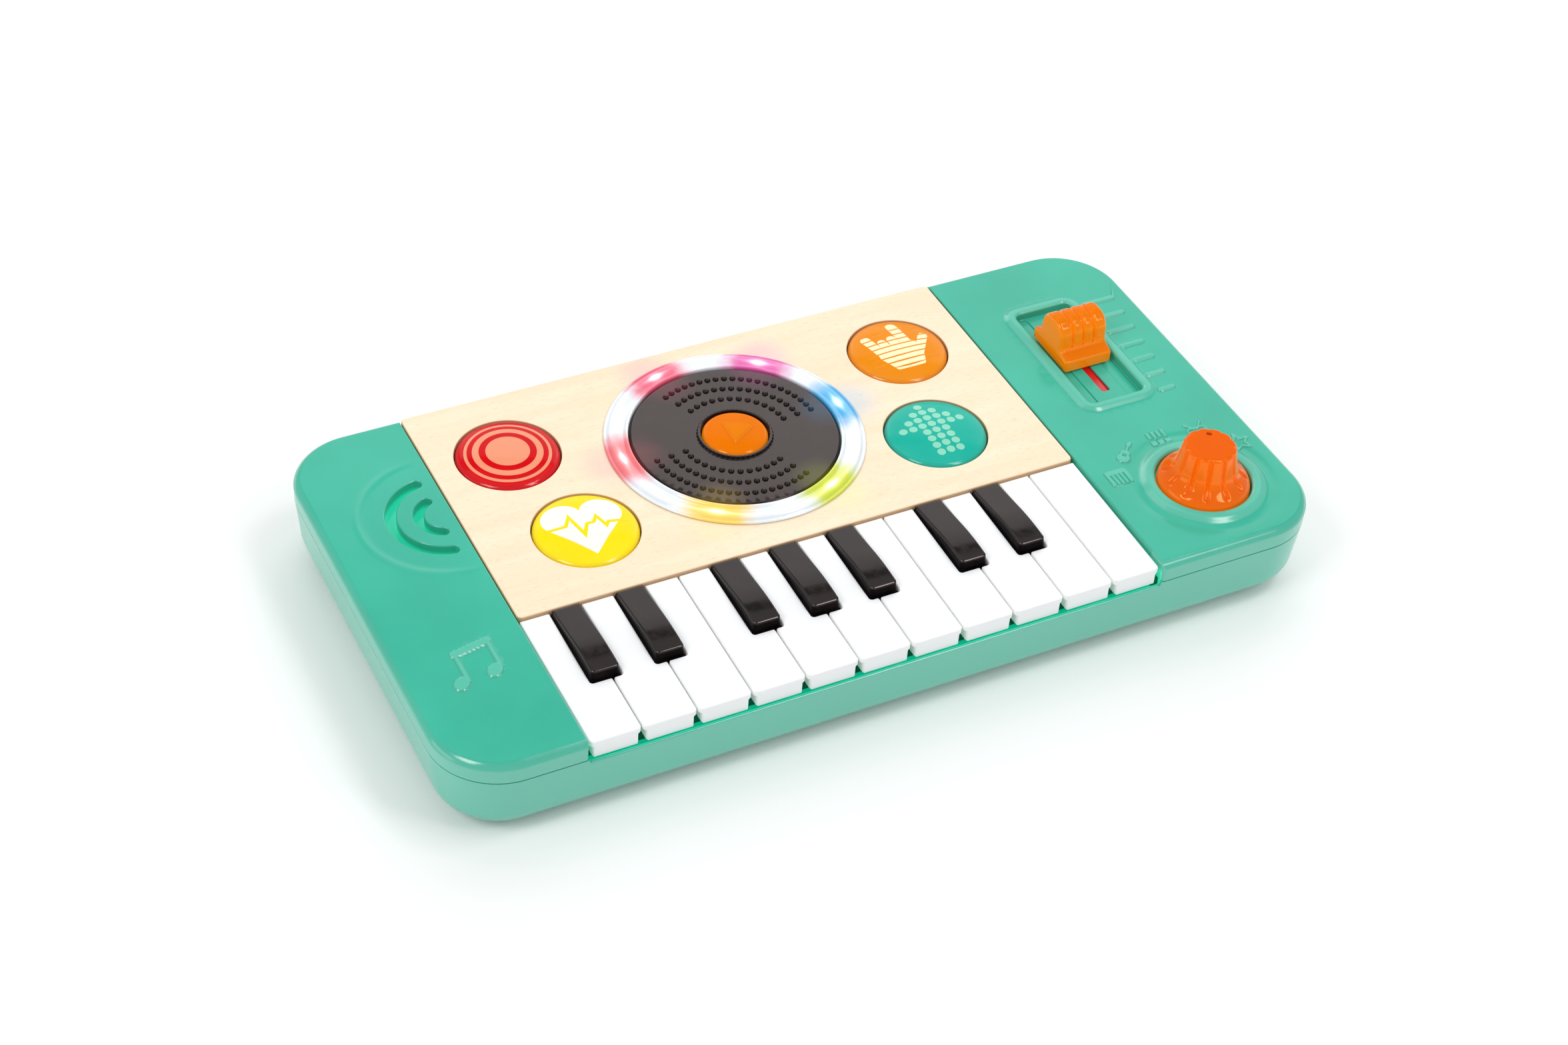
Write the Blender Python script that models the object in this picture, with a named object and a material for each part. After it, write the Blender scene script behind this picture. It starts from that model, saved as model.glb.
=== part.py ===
"""Toy electronic keyboard: eleven white and seven black keys, four pads, a spinning record with a
light ring, a fader and a sound selector, in a two-part case with a plywood panel.

Lengths are in millimetres and become metres when a mesh is made. +X runs along the keyboard to the
right, -Y is the player's side and +Z is up. The origin is on the table, under the middle of the case.
"""

import math

import bmesh
import bpy
from mathutils import Matrix

MM = 0.001
GAP = 0.3

# Case
LENGTH = 310.0
DEPTH = 162.0
TOP = 32.5
CORNER_R = 23.0
TOP_FILLET = 3.2
BOTTOM_FILLET = 10.5
DRAFT = 1.2
SEAM = TOP - 7.3
CASE_BOTTOM = 1.5
WALL = 2.0
HALF_L = LENGTH / 2
HALF_D = DEPTH / 2

# Keyboard
PITCH = 18.33
WHITE_COUNT = 11
KEYBOARD_X = -11.6
BAY_HALF = 100.4
FIRST_EDGE = KEYBOARD_X - WHITE_COUNT * PITCH / 2
END_TRIM = 1.05
KEY_TOP = TOP - 1.9
KEY_BOTTOM = TOP - 8.2
KEY_FRONT = -79.4
KEY_BACK = -24.0
KEY_WALL = 1.3
LIP = 0.75
BLACK_W = 10.1
BLACK_TOP_W = 9.3
BLACK_FRONT = -56.3
NOTCH_CLEAR = 0.35
# (white key on the left, shift of the black key from the gap between the two whites)
BLACKS = ((0, -1.9), (1, 1.4), (3, -2.2), (4, 0.0), (5, 2.2), (7, -1.9), (8, 1.4))
PIVOT_Y = -17.0
PIVOT_Z = TOP - 9.2
LUG_R = 3.2
LUG_W = 5.0
ROD_R = 1.3
PLUNGER_Y = -38.0
RAIL_TOP = TOP - 8.6
RAIL_INNER_Y = -79.75

# Plywood panel and the bed that carries it
WOOD_T = 5.0
WOOD_FRONT = -23.67
WOOD_BACK = HALF_D - 0.5
WOOD_HALF = BAY_HALF - 0.4
BED_TOP = TOP - WOOD_T - GAP
BED_FRONT = -13.2

# Pads
PADS = (
    ("pad_red", -85.2, 50.0),
    ("pad_yellow", -76.0, 6.2),
    ("pad_orange", 60.7, 50.1),
    ("pad_teal", 51.85, 6.0),
)
PAD_R = 17.3
PAD_HOLE_R = 17.78

# Record and light ring
DISC_X = -11.9
DISC_Y = 29.7
DISC_R = 35.3
RING_R = 44.0
RING_BODY_R = 42.2
RING_HOLE_R = 42.6
PLAY_R = 11.2

# Fader
FADER_X = 119.5
FADER_Y = 29.9
FADER_W = 18.8
FADER_L = 23.0
RECESS_W = 22.0
RECESS_Y0 = -1.2
RECESS_Y1 = 51.7
RECESS_FLOOR = TOP - 2.0
SLOT_W = 4.2
SLOT_Y0 = 5.7
SLOT_Y1 = 44.8
RIM_W = 4.2

# Sound selector
KNOB_X = 123.1
KNOB_Y = -50.1
KNOB_HOLE_R = 17.0

# Speaker under the left end
SPEAKER_X = -133.5
SPEAKER_Y = 30.6
SPEAKER_R = 17.6
SPEAKER_TOP = TOP - 5.8
SLOT_CENTRE_X = -114.9
SLOT_DEPTH = 5.2
# (outer radius, width, half spread in degrees) of each speaker slot
SLOTS = ((19.0, 3.6, 83.0), (10.0, 3.4, 78.0))
ROOF_T = 2.6

# Batteries under the right end
BATTERY_R = 7.25
BATTERY_L = 50.5
BATTERY_PITCH = 15.0
BATTERY_Y = 20.5
BATTERY_X = 119.5
BATTERY_Z = CASE_BOTTOM + 1.9 + BATTERY_R
BAY_X0 = BATTERY_X - 1.5 * BATTERY_PITCH - 0.6
BAY_X1 = BATTERY_X + 1.5 * BATTERY_PITCH + 0.6
BAY_Y0 = BATTERY_Y - BATTERY_L / 2 - 2.0
BAY_Y1 = BATTERY_Y + BATTERY_L / 2 + 2.0
BAY_ROOF = BATTERY_Z + BATTERY_R + 0.3
BAY_WALL = 1.4
DOOR_T = 1.6
DOOR_SCREW_Y = BAY_Y1 + 4.2
DOOR_SEAT_TOP = CASE_BOTTOM + DOOR_T + GAP

# Frame under the keys, board under the panel, and the posts of the lower case that carry them
FRAME_TOP = TOP - 15.5
FRAME_T = 2.0
FRAME_POSTS = ((-90.0, -62.0), (-30.0, -62.0), (30.0, -62.0), (80.0, -62.0),
               (-100.0, -12.5), (78.0, -12.5))
BOARD_TOP = TOP - 12.0
BOARD_T = 1.6
BOARD_POSTS = ((-97.0, 64.0), (80.0, 64.0), (-104.0, 26.0), (80.0, 26.0))
POST_R = 3.0
LAMP_RING_R = 39.2
LAMP_COUNT = 6

# Case screws, feet and power switch
SCREW_X = 138.5
SCREW_Y = 64.5
SCREW_HEAD_R = 2.8
SCREW_SHANK_R = 1.25
SCREW_SEAT = 10.4
BOSS_TOP = 12.4
FOOT_X = 112.0
FOOT_Y = 62.5
FOOT_R = 6.0
SWITCH_X = -60.0
SWITCH_Y = 50.0
SWITCH_TRAVEL = 5.0

COLOURS = {
    "green_plastic": ((0.075, 0.50, 0.37), 0.35, 0.0),
    "plywood": ((0.95, 0.80, 0.60), 0.5, 0.0),
    "white_plastic": ((0.90, 0.91, 0.92), 0.25, 0.0),
    "black_plastic": ((0.02, 0.018, 0.02), 0.12, 0.0),
    "red_plastic": ((0.70, 0.0, 0.02), 0.2, 0.0),
    "yellow_plastic": ((0.95, 0.72, 0.0), 0.2, 0.0),
    "orange_plastic": ((0.85, 0.22, 0.01), 0.3, 0.0),
    "teal_plastic": ((0.04, 0.42, 0.33), 0.2, 0.0),
    "clear_plastic": ((0.85, 0.88, 0.95), 0.15, 0.0),
    "grey_plastic": ((0.25, 0.26, 0.27), 0.5, 0.0),
    "rubber": ((0.10, 0.10, 0.11), 0.8, 0.0),
    "board": ((0.02, 0.18, 0.07), 0.45, 0.0),
    "steel": ((0.60, 0.60, 0.62), 0.3, 1.0),
    "paper_cone": ((0.05, 0.05, 0.05), 0.85, 0.0),
    "cell_wrap": ((0.10, 0.12, 0.30), 0.3, 0.0),
}


# ---------------------------------------------------------------- helpers

def clear_scene():
    for item in list(bpy.data.objects):
        bpy.data.objects.remove(item, do_unlink=True)


def material(name):
    found = bpy.data.materials.get(name)
    if found:
        return found
    colour, roughness, metallic = COLOURS[name]
    made = bpy.data.materials.new(name)
    made.use_nodes = True
    shader = made.node_tree.nodes["Principled BSDF"]
    shader.inputs["Base Color"].default_value = (*colour, 1.0)
    shader.inputs["Roughness"].default_value = roughness
    shader.inputs["Metallic"].default_value = metallic
    return made


def new_object(name, bm, finish=None):
    """Turns a closed bmesh in millimetres into an object in metres."""
    bmesh.ops.recalc_face_normals(bm, faces=bm.faces)
    bmesh.ops.scale(bm, vec=(MM, MM, MM), verts=bm.verts)
    mesh = bpy.data.meshes.new(name)
    bm.to_mesh(mesh)
    bm.free()
    item = bpy.data.objects.new(name, mesh)
    bpy.context.scene.collection.objects.link(item)
    if finish:
        mesh.materials.append(material(finish))
    return item


def loft(name, rings, finish=None):
    """A solid through closed rings of equal count, each a list of (x, y, z), capped at both ends."""
    bm = bmesh.new()
    rows = [[bm.verts.new(point) for point in ring] for ring in rings]
    count = len(rows[0])
    for lower, upper in zip(rows, rows[1:]):
        for i in range(count):
            j = (i + 1) % count
            bm.faces.new((lower[i], lower[j], upper[j], upper[i]))
    bm.faces.new(list(reversed(rows[0])))
    bm.faces.new(rows[-1])
    return new_object(name, bm, finish)


def prism(name, outline, z0, z1, finish=None):
    rings = [[(x, y, z) for x, y in outline] for z in (z0, z1)]
    return loft(name, rings, finish)


def box(name, x0, x1, y0, y1, z0, z1, finish=None):
    return prism(name, [(x0, y0), (x1, y0), (x1, y1), (x0, y1)], z0, z1, finish)


def arc(cx, cy, r, a0, a1, steps):
    """Points on an arc from a0 to a1 degrees."""
    angles = [math.radians(a0 + (a1 - a0) * i / steps) for i in range(steps + 1)]
    return [(cx + r * math.cos(a), cy + r * math.sin(a)) for a in angles]


def circle(cx, cy, r, count=24):
    return arc(cx, cy, r, 0, 360, count)[:-1]


def rounded_rect(x0, x1, y0, y1, r, steps=6):
    corners = ((x1 - r, y0 + r, -90), (x1 - r, y1 - r, 0), (x0 + r, y1 - r, 90), (x0 + r, y0 + r, 180))
    points = []
    for cx, cy, start in corners:
        points += arc(cx, cy, r, start, start + 90, steps)
    return points


def cylinder(name, cx, cy, r, z0, z1, count=20, finish=None):
    return prism(name, circle(cx, cy, r, count), z0, z1, finish)


def rod_x(name, x0, x1, cy, cz, r, count=10, finish=None):
    """A cylinder along X."""
    rings = [[(x, cy + dy, cz + dz) for dy, dz in circle(0, 0, r, count)] for x in (x0, x1)]
    return loft(name, rings, finish)


def rod_y(name, cx, y0, y1, cz, r, count=16, finish=None):
    """A cylinder along Y."""
    rings = [[(cx + dx, y, cz + dz) for dx, dz in circle(0, 0, r, count)] for y in (y0, y1)]
    return loft(name, rings, finish)


def lathe(name, cx, cy, profile, count=32, finish=None):
    """Turns (radius, z) points round a vertical axis. A radius of 0 at both ends closes the shape on
    the axis; any other profile is a closed loop and makes a ring."""
    bm = bmesh.new()
    on_axis = profile[0][0] == 0
    rows = []
    for r, z in profile:
        if r == 0:
            rows.append([bm.verts.new((cx, cy, z))])
        else:
            rows.append([bm.verts.new((x, y, z)) for x, y in circle(cx, cy, r, count)])
    pairs = list(zip(rows, rows[1:]))
    if not on_axis:
        pairs.append((rows[-1], rows[0]))
    for a, b in pairs:
        for i in range(count):
            j = (i + 1) % count
            if len(a) == 1:
                bm.faces.new((a[0], b[i], b[j]))
            elif len(b) == 1:
                bm.faces.new((a[i], a[j], b[0]))
            else:
                bm.faces.new((a[i], a[j], b[j], b[i]))
    return new_object(name, bm, finish)


def combine(base, tools, operation):
    """Joins tools to base or cuts them from it, one after the other, and keeps the plain result."""
    for tool in tools:
        step = base.modifiers.new("step", "BOOLEAN")
        step.operation = operation
        step.solver = "EXACT"
        step.object = tool
        graph = bpy.context.evaluated_depsgraph_get()
        result = bpy.data.meshes.new_from_object(base.evaluated_get(graph))
        base.modifiers.remove(step)
        old = base.data
        base.data = result
        result.name = base.name
        bpy.data.meshes.remove(old)
        bpy.data.objects.remove(tool, do_unlink=True)
    return base


def cut(base, *tools):
    return combine(base, tools, "DIFFERENCE")


def join(base, *tools):
    return combine(base, tools, "UNION")


def finish_all():
    for item in bpy.data.objects:
        if item.type == "MESH":
            item.data.shade_smooth()
            item.data.set_sharp_from_angle(angle=math.radians(35))


def set_origin(item, x, y, z):
    """Moves the object's origin to a point on its joint axis without moving its shape."""
    item.data.transform(Matrix.Translation((-x * MM, -y * MM, -z * MM)))
    item.location = (x * MM, y * MM, z * MM)


# ---------------------------------------------------------------- case

def case_ring(inset, z, steps=6):
    outline = rounded_rect(
        -HALF_L + inset, HALF_L - inset, -HALF_D + inset, HALF_D - inset, CORNER_R - inset, steps)
    return [(x, y, z) for x, y in outline]


def fillet_rings(inset, z_edge, r, steps, upward):
    """Rings round a quarter fillet that leaves a wall at inset and reaches a flat at z_edge."""
    rings = []
    for i in range(steps + 1):
        a = math.radians(90 * i / steps)
        rise = r * math.sin(a) - r
        rings.append((inset + r * (1 - math.cos(a)), z_edge + (rise if upward else -rise)))
    return rings


def lower_case():
    bottom = fillet_rings(DRAFT, CASE_BOTTOM, BOTTOM_FILLET, 4, False)
    rings = [case_ring(d, z) for d, z in reversed(bottom)]
    rings.append(case_ring(0.1, SEAM - GAP / 2))
    case = loft("lower_case", rings, "green_plastic")
    inner = fillet_rings(DRAFT + WALL, CASE_BOTTOM + WALL, BOTTOM_FILLET - WALL, 2, False)
    rings = [case_ring(d, z, 5) for d, z in reversed(inner)]
    rings.append(case_ring(WALL, SEAM + 2, 5))
    cut(case, loft("cavity", rings))
    bay0 = KEYBOARD_X - BAY_HALF
    bay1 = KEYBOARD_X + BAY_HALF
    cut(
        case,
        box("rail_drop", bay0, bay1, -HALF_D - 1, -HALF_D + 8, RAIL_TOP, SEAM + 2),
        box("key_pocket", bay0, bay1, RAIL_INNER_Y, -70, RAIL_TOP - 4.2, SEAM + 2),
    )
    add_battery_bay(case)
    add_case_bosses(case)
    add_board_posts(case)
    slot_x0 = SWITCH_X - 2.4
    slot_x1 = SWITCH_X + 3.6 + SWITCH_TRAVEL
    cut(case, box("switch_slot", slot_x0, slot_x1, SWITCH_Y - 2.3, SWITCH_Y + 2.3, 0, 5))
    return case


def add_battery_bay(case):
    """The box round the cells, the door's seat, and the shelf and boss that the door's screw holds."""
    walls = box("bay", BAY_X0 - BAY_WALL, BAY_X1 + BAY_WALL, BAY_Y0 - BAY_WALL, BAY_Y1 + BAY_WALL,
                CASE_BOTTOM + 0.5, BAY_ROOF + BAY_WALL)
    join(case, walls)
    cut(
        case,
        box("bay_space", BAY_X0, BAY_X1, BAY_Y0, BAY_Y1, 0, BAY_ROOF),
        box("door_seat", BAY_X0 - 0.9, BAY_X1 + 0.9, BAY_Y0 - 0.9, BAY_Y1 + 7.0, 0, DOOR_SEAT_TOP),
    )
    shelf = box("door_shelf", BATTERY_X - 26, BATTERY_X + 26, BAY_Y1 + 0.7, BAY_Y1 + 8.2,
                DOOR_SEAT_TOP, DOOR_SEAT_TOP + 1.4)
    boss = cylinder("door_boss", BATTERY_X, DOOR_SCREW_Y, 2.6, DOOR_SEAT_TOP, 14.0, 12)
    join(case, shelf, boss)
    cut(case, cylinder("door_hole", BATTERY_X, DOOR_SCREW_Y, 1.1, 0, 12.0, 10))


def corner_points(x, y):
    return [(sx * x, sy * y) for sx in (-1, 1) for sy in (-1, 1)]


def add_case_bosses(case):
    for x, y in corner_points(SCREW_X, SCREW_Y):
        join(case, cylinder("boss", x, y, SCREW_HEAD_R + 2.0, CASE_BOTTOM + 0.5, BOSS_TOP, 16))
        cut(
            case,
            cylinder("head_well", x, y, SCREW_HEAD_R + 0.6, 0, SCREW_SEAT + 0.4, 16),
            cylinder("shank_hole", x, y, SCREW_SHANK_R + 0.45, 5, BOSS_TOP + 1, 12),
        )
    for x, y in corner_points(FOOT_X, FOOT_Y):
        cut(case, cylinder("foot_seat", x, y, FOOT_R + GAP, 0, CASE_BOTTOM + 1.0, 16))


def add_board_posts(case):
    for x, y in FRAME_POSTS:
        join(case, cylinder("post", x, y, POST_R, CASE_BOTTOM + 0.5, FRAME_TOP - FRAME_T - GAP, 12))
    for x, y in BOARD_POSTS:
        join(case, cylinder("post", x, y, POST_R, CASE_BOTTOM + 0.5, BOARD_TOP - BOARD_T - GAP, 12))


def end_outline(inner_x, side):
    """The space inside one end of the case: round at its outer corners, straight at inner_x."""
    r = CORNER_R - WALL
    x = side * (HALF_L - WALL - r)
    y = HALF_D - WALL - r
    outer = arc(x, -y, r, -90, 0, 5) + arc(x, y, r, 0, 90, 5)
    if side < 0:
        outer = arc(x, y, r, 90, 180, 5) + arc(x, -y, r, 180, 270, 5)
    return outer + [(inner_x, side * (HALF_D - WALL)), (inner_x, -side * (HALF_D - WALL))]


def upper_case():
    bay0 = KEYBOARD_X - BAY_HALF
    bay1 = KEYBOARD_X + BAY_HALF
    low = SEAM + GAP / 2
    rings = [case_ring(0.0, low)]
    rings += [case_ring(d, z) for d, z in fillet_rings(0.0, TOP, TOP_FILLET, 3, True)]
    case = loft("upper_case", rings, "green_plastic")
    cut(
        case,
        box("panel_space", bay0, bay1, -HALF_D - 1, HALF_D + 1, BED_TOP, TOP + 2),
        box("key_space", bay0, bay1, -HALF_D - 1, BED_FRONT, 0, TOP + 2),
    )
    roof = TOP - ROOF_T
    left = end_outline(bay0 - WALL, -1)
    right = end_outline(bay1 + WALL, 1)
    cut(case, prism("left_cavity", left, 0, roof), prism("right_cavity", right, 0, roof))
    cut(case, cylinder("record_hole", DISC_X, DISC_Y, RING_HOLE_R, 0, TOP + 2, 40))
    for _, x, y in PADS:
        cut(case, cylinder("pad_hole", x, y, PAD_HOLE_R, 0, TOP + 2, 20))
    add_speaker_slots(case, roof)
    add_fader_well(case, roof)
    add_knob_cup(case, roof)
    for x, y in corner_points(SCREW_X, SCREW_Y):
        join(case, cylinder("boss", x, y, 3.6, BOSS_TOP + 0.4, roof + 0.5, 12))
        cut(case, cylinder("pilot", x, y, SCREW_SHANK_R + 0.25, 10, 24, 10))
    return case


def add_speaker_slots(case, roof):
    """The slots go through a thicker stretch of roof, so that their walls are deep."""
    reach = SLOTS[0][0] + 2.0
    join(case, box("thick_roof", SLOT_CENTRE_X - reach, SLOT_CENTRE_X + 2.0, SPEAKER_Y - reach,
                   SPEAKER_Y + reach, TOP - SLOT_DEPTH, roof + 0.6))
    for r_out, width, spread in SLOTS:
        outer = arc(SLOT_CENTRE_X, SPEAKER_Y, r_out, 180 - spread, 180 + spread, 9)
        inner = arc(SLOT_CENTRE_X, SPEAKER_Y, r_out - width, 180 + spread, 180 - spread, 9)
        cut(case, prism("slot", outer + inner, TOP - SLOT_DEPTH - 1, TOP + 2))


def add_fader_well(case, roof):
    x0 = FADER_X - RECESS_W / 2
    x1 = FADER_X + RECESS_W / 2
    rim = rounded_rect(x0 - RIM_W, x1 + RIM_W, RECESS_Y0 - RIM_W, RECESS_Y1 + RIM_W, 7.0, 4)
    crown = rounded_rect(x0 - 2.2, x1 + 2.2, RECESS_Y0 - 2.2, RECESS_Y1 + 2.2, 5.0, 4)
    rings = [[(x, y, TOP - 1.0) for x, y in rim], [(x, y, TOP) for x, y in rim],
             [(x, y, TOP + 0.8) for x, y in crown]]
    join(case, loft("rim", rings))
    join(case, box("well", x0 - 1.6, x1 + 1.6, RECESS_Y0 - 1.6, RECESS_Y1 + 1.6, roof - 1.8, roof + 0.6))
    well = rounded_rect(x0, x1, RECESS_Y0, RECESS_Y1, 2.5, 3)
    slot = rounded_rect(FADER_X - SLOT_W / 2, FADER_X + SLOT_W / 2, SLOT_Y0, SLOT_Y1, 1.0, 2)
    cut(case, prism("well_space", well, RECESS_FLOOR, TOP + 3), prism("fader_slot", slot, 0, TOP))


def add_knob_cup(case, roof):
    collar = [(KNOB_HOLE_R + 4.6, TOP - 1.0), (KNOB_HOLE_R + 4.6, TOP), (KNOB_HOLE_R + 2.2, TOP + 1.2),
              (KNOB_HOLE_R + 0.6, TOP + 1.2), (KNOB_HOLE_R, TOP + 0.6), (KNOB_HOLE_R, TOP - 1.0)]
    join(case, lathe("collar", KNOB_X, KNOB_Y, collar, 24))
    join(case, cylinder("cup", KNOB_X, KNOB_Y, KNOB_HOLE_R + 1.6, TOP - 5.2, roof + 0.6, 24))
    cut(
        case,
        cylinder("cup_space", KNOB_X, KNOB_Y, KNOB_HOLE_R, TOP - 3.4, TOP + 3, 24),
        cylinder("shaft_hole", KNOB_X, KNOB_Y, 4.2, 0, TOP, 16),
    )


def wood_panel():
    x0 = KEYBOARD_X - WOOD_HALF
    x1 = KEYBOARD_X + WOOD_HALF
    low = TOP - WOOD_T
    levels = ((0.5, low), (0.0, low + 0.5), (0.0, TOP - 1.6), (0.45, TOP - 0.5), (1.6, TOP))
    rings = []
    for inset, z in levels:
        outline = rounded_rect(
            x0 + inset * 0.4, x1 - inset * 0.4, WOOD_FRONT + inset, WOOD_BACK - inset, 0.8, 2)
        rings.append([(x, y, z) for x, y in outline])
    panel = loft("wood_panel", rings, "plywood")
    cut(panel, cylinder("record_hole", DISC_X, DISC_Y, RING_HOLE_R, 0, TOP + 2, 40))
    for _, x, y in PADS:
        cut(panel, cylinder("pad_hole", x, y, PAD_HOLE_R, 0, TOP + 2, 24))
    return panel


# ---------------------------------------------------------------- keys

def black_x(index):
    left_white, shift = BLACKS[index]
    return FIRST_EDGE + (left_white + 1) * PITCH + shift


def white_sides(index):
    """(left, right, rear left, rear right) edges of a white key."""
    left = FIRST_EDGE + index * PITCH + (END_TRIM if index == 0 else GAP)
    right = FIRST_EDGE + (index + 1) * PITCH - (END_TRIM if index == WHITE_COUNT - 1 else GAP)
    rear_left = left
    rear_right = right
    reach = BLACK_W / 2 + NOTCH_CLEAR
    for b, (left_white, _) in enumerate(BLACKS):
        if left_white == index:
            rear_right = black_x(b) - reach
        if left_white + 1 == index:
            rear_left = black_x(b) + reach
    return left, right, rear_left, rear_right


def white_outline(index, side, front):
    left, right, rear_left, rear_right = white_sides(index)
    notch = BLACK_FRONT - 0.5 - side
    points = [(left + side, KEY_FRONT + front), (right - side, KEY_FRONT + front)]
    if rear_right < right:
        points += [(right - side, notch), (rear_right - side, notch)]
    points += [(rear_right - side, KEY_BACK - side), (rear_left + side, KEY_BACK - side)]
    if rear_left > left:
        points += [(rear_left + side, notch), (left + side, notch)]
    return points


def add_key_works(key, arm_x, plunger_top):
    """The arm, the pivot lug with its bore, and the plunger over the rubber contact."""
    half = LUG_W / 2
    join(
        key,
        box("arm", arm_x - half, arm_x + half, KEY_BACK - 3.2, PIVOT_Y, PIVOT_Z - 1.8, PIVOT_Z + 3.0),
        rod_x("lug", arm_x - half, arm_x + half, PIVOT_Y, PIVOT_Z, LUG_R),
        box("plunger", arm_x - 1.6, arm_x + 1.6, PLUNGER_Y - 2, PLUNGER_Y + 2, TOP - 10.7, plunger_top),
    )
    cut(key, rod_x("bore", arm_x - half - 1, arm_x + half + 1, PIVOT_Y, PIVOT_Z, ROD_R + 0.35))
    set_origin(key, arm_x, PIVOT_Y, PIVOT_Z)


def white_key(index):
    levels = ((LIP, 0.25, KEY_BOTTOM), (LIP, 0.1, KEY_TOP - 2.4), (0.0, 0.0, KEY_TOP - 2.1),
              (0.0, 0.0, KEY_TOP - 0.6), (0.45, 0.6, KEY_TOP))
    rings = []
    for side, front, z in levels:
        rings.append([(x, y, z) for x, y in white_outline(index, side, front)])
    name = "white_key_%02d" % (index + 1)
    key = loft(name, rings, "white_plastic")
    inset = LIP + KEY_WALL
    cut(key, prism("hollow", white_outline(index, inset, KEY_WALL), KEY_BOTTOM - 1, KEY_TOP - 2.6))
    _, _, rear_left, rear_right = white_sides(index)
    add_key_works(key, (rear_left + rear_right) / 2, KEY_TOP - 2.0)
    return key


def black_profile():
    """(y, top height) along a black key: it rises to a crown, then rounds over at the front."""
    crown = -44.0
    return (
        (KEY_BACK, TOP + 1.0),
        (crown, TOP + 2.3),
        (crown - 5.0, TOP + 2.1),
        (BLACK_FRONT + 1.9, TOP + 1.3),
        (BLACK_FRONT + 1.1, TOP + 0.7),
    )


def black_key(index):
    x = black_x(index)
    rings = []
    base = BLACK_W / 2
    shoulder = BLACK_TOP_W / 2
    crown = shoulder - 0.45
    for i, (y, top) in enumerate(black_profile()):
        front = y if i < 3 else BLACK_FRONT + (0.5 if i == 3 else 0.0)
        foot = y if i == 0 else front
        rings.append([
            (x - base, foot, KEY_BOTTOM), (x + base, foot, KEY_BOTTOM), (x + base, foot, KEY_TOP + 0.1),
            (x + shoulder, y, top - 0.5), (x + crown, y, top), (x - crown, y, top),
            (x - shoulder, y, top - 0.5), (x - base, foot, KEY_TOP + 0.1),
        ])
    key = loft("black_key_%02d" % (index + 1), rings, "black_plastic")
    space = box("hollow", x - base + KEY_WALL, x + base - KEY_WALL, BLACK_FRONT + 2.4, KEY_BACK - 2,
                KEY_BOTTOM - 1, KEY_TOP - 1)
    cut(key, space)
    add_key_works(key, x, KEY_TOP - 0.5)
    return key


def pivot_supports():
    """X of the posts that hold the key rod: both ends, and the gaps where no black key sits."""
    used = [left for left, _ in BLACKS]
    inner = [FIRST_EDGE + (i + 1) * PITCH for i in range(WHITE_COUNT - 1) if i not in used]
    return [KEYBOARD_X - BAY_HALF + 2.0] + inner + [KEYBOARD_X + BAY_HALF - 3.0]


def key_frame():
    x0 = KEYBOARD_X - BAY_HALF + 1
    x1 = KEYBOARD_X + BAY_HALF - 1
    frame = box("key_frame", x0, x1, -74, -9, FRAME_TOP - FRAME_T, FRAME_TOP, "grey_plastic")
    for x in pivot_supports():
        join(frame, box("post", x - 1.0, x + 1.0, PIVOT_Y - 3, PIVOT_Y + 3, FRAME_TOP - 1, PIVOT_Z + 2.6))
    bore = rod_x("bore", x0 - 1, x1 + 1, PIVOT_Y, PIVOT_Z, ROD_R + GAP)
    return cut(frame, bore)


def key_rod():
    x0 = KEYBOARD_X - BAY_HALF + 0.8
    x1 = KEYBOARD_X + BAY_HALF - 1.8
    return rod_x("key_rod", x0, x1, PIVOT_Y, PIVOT_Z, ROD_R, 12, "steel")


def key_contacts():
    """One rubber strip with a dome under each plunger."""
    base = FRAME_TOP + GAP
    x0 = KEYBOARD_X - BAY_HALF + 3
    x1 = KEYBOARD_X + BAY_HALF - 3
    strip = box("key_contacts", x0, x1, PLUNGER_Y - 5, PLUNGER_Y + 5, base, base + 1.2, "rubber")
    spots = [black_x(i) for i in range(len(BLACKS))]
    for i in range(WHITE_COUNT):
        _, _, rear_left, rear_right = white_sides(i)
        spots.append((rear_left + rear_right) / 2)
    for x in spots:
        join(strip, cylinder("dome", x, PLUNGER_Y, 2.8, base + 0.6, TOP - 12.1, 8))
    return strip


# ---------------------------------------------------------------- pads, record and ring

def pad(name, x, y, finish):
    profile = [
        (0, TOP + 1.9), (8.0, TOP + 1.6), (14.0, TOP + 0.8), (PAD_R - 0.3, TOP - 0.4),
        (PAD_R, TOP - 7.6), (18.9, TOP - 7.6), (18.9, TOP - 8.7), (15.6, TOP - 8.7),
        (15.6, TOP - 1.8), (3.0, TOP - 0.6), (3.0, TOP - 9.0), (0, TOP - 9.0),
    ]
    made = lathe(name, x, y, profile, 24, finish)
    set_origin(made, x, y, TOP - 8.7)
    return made


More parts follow.
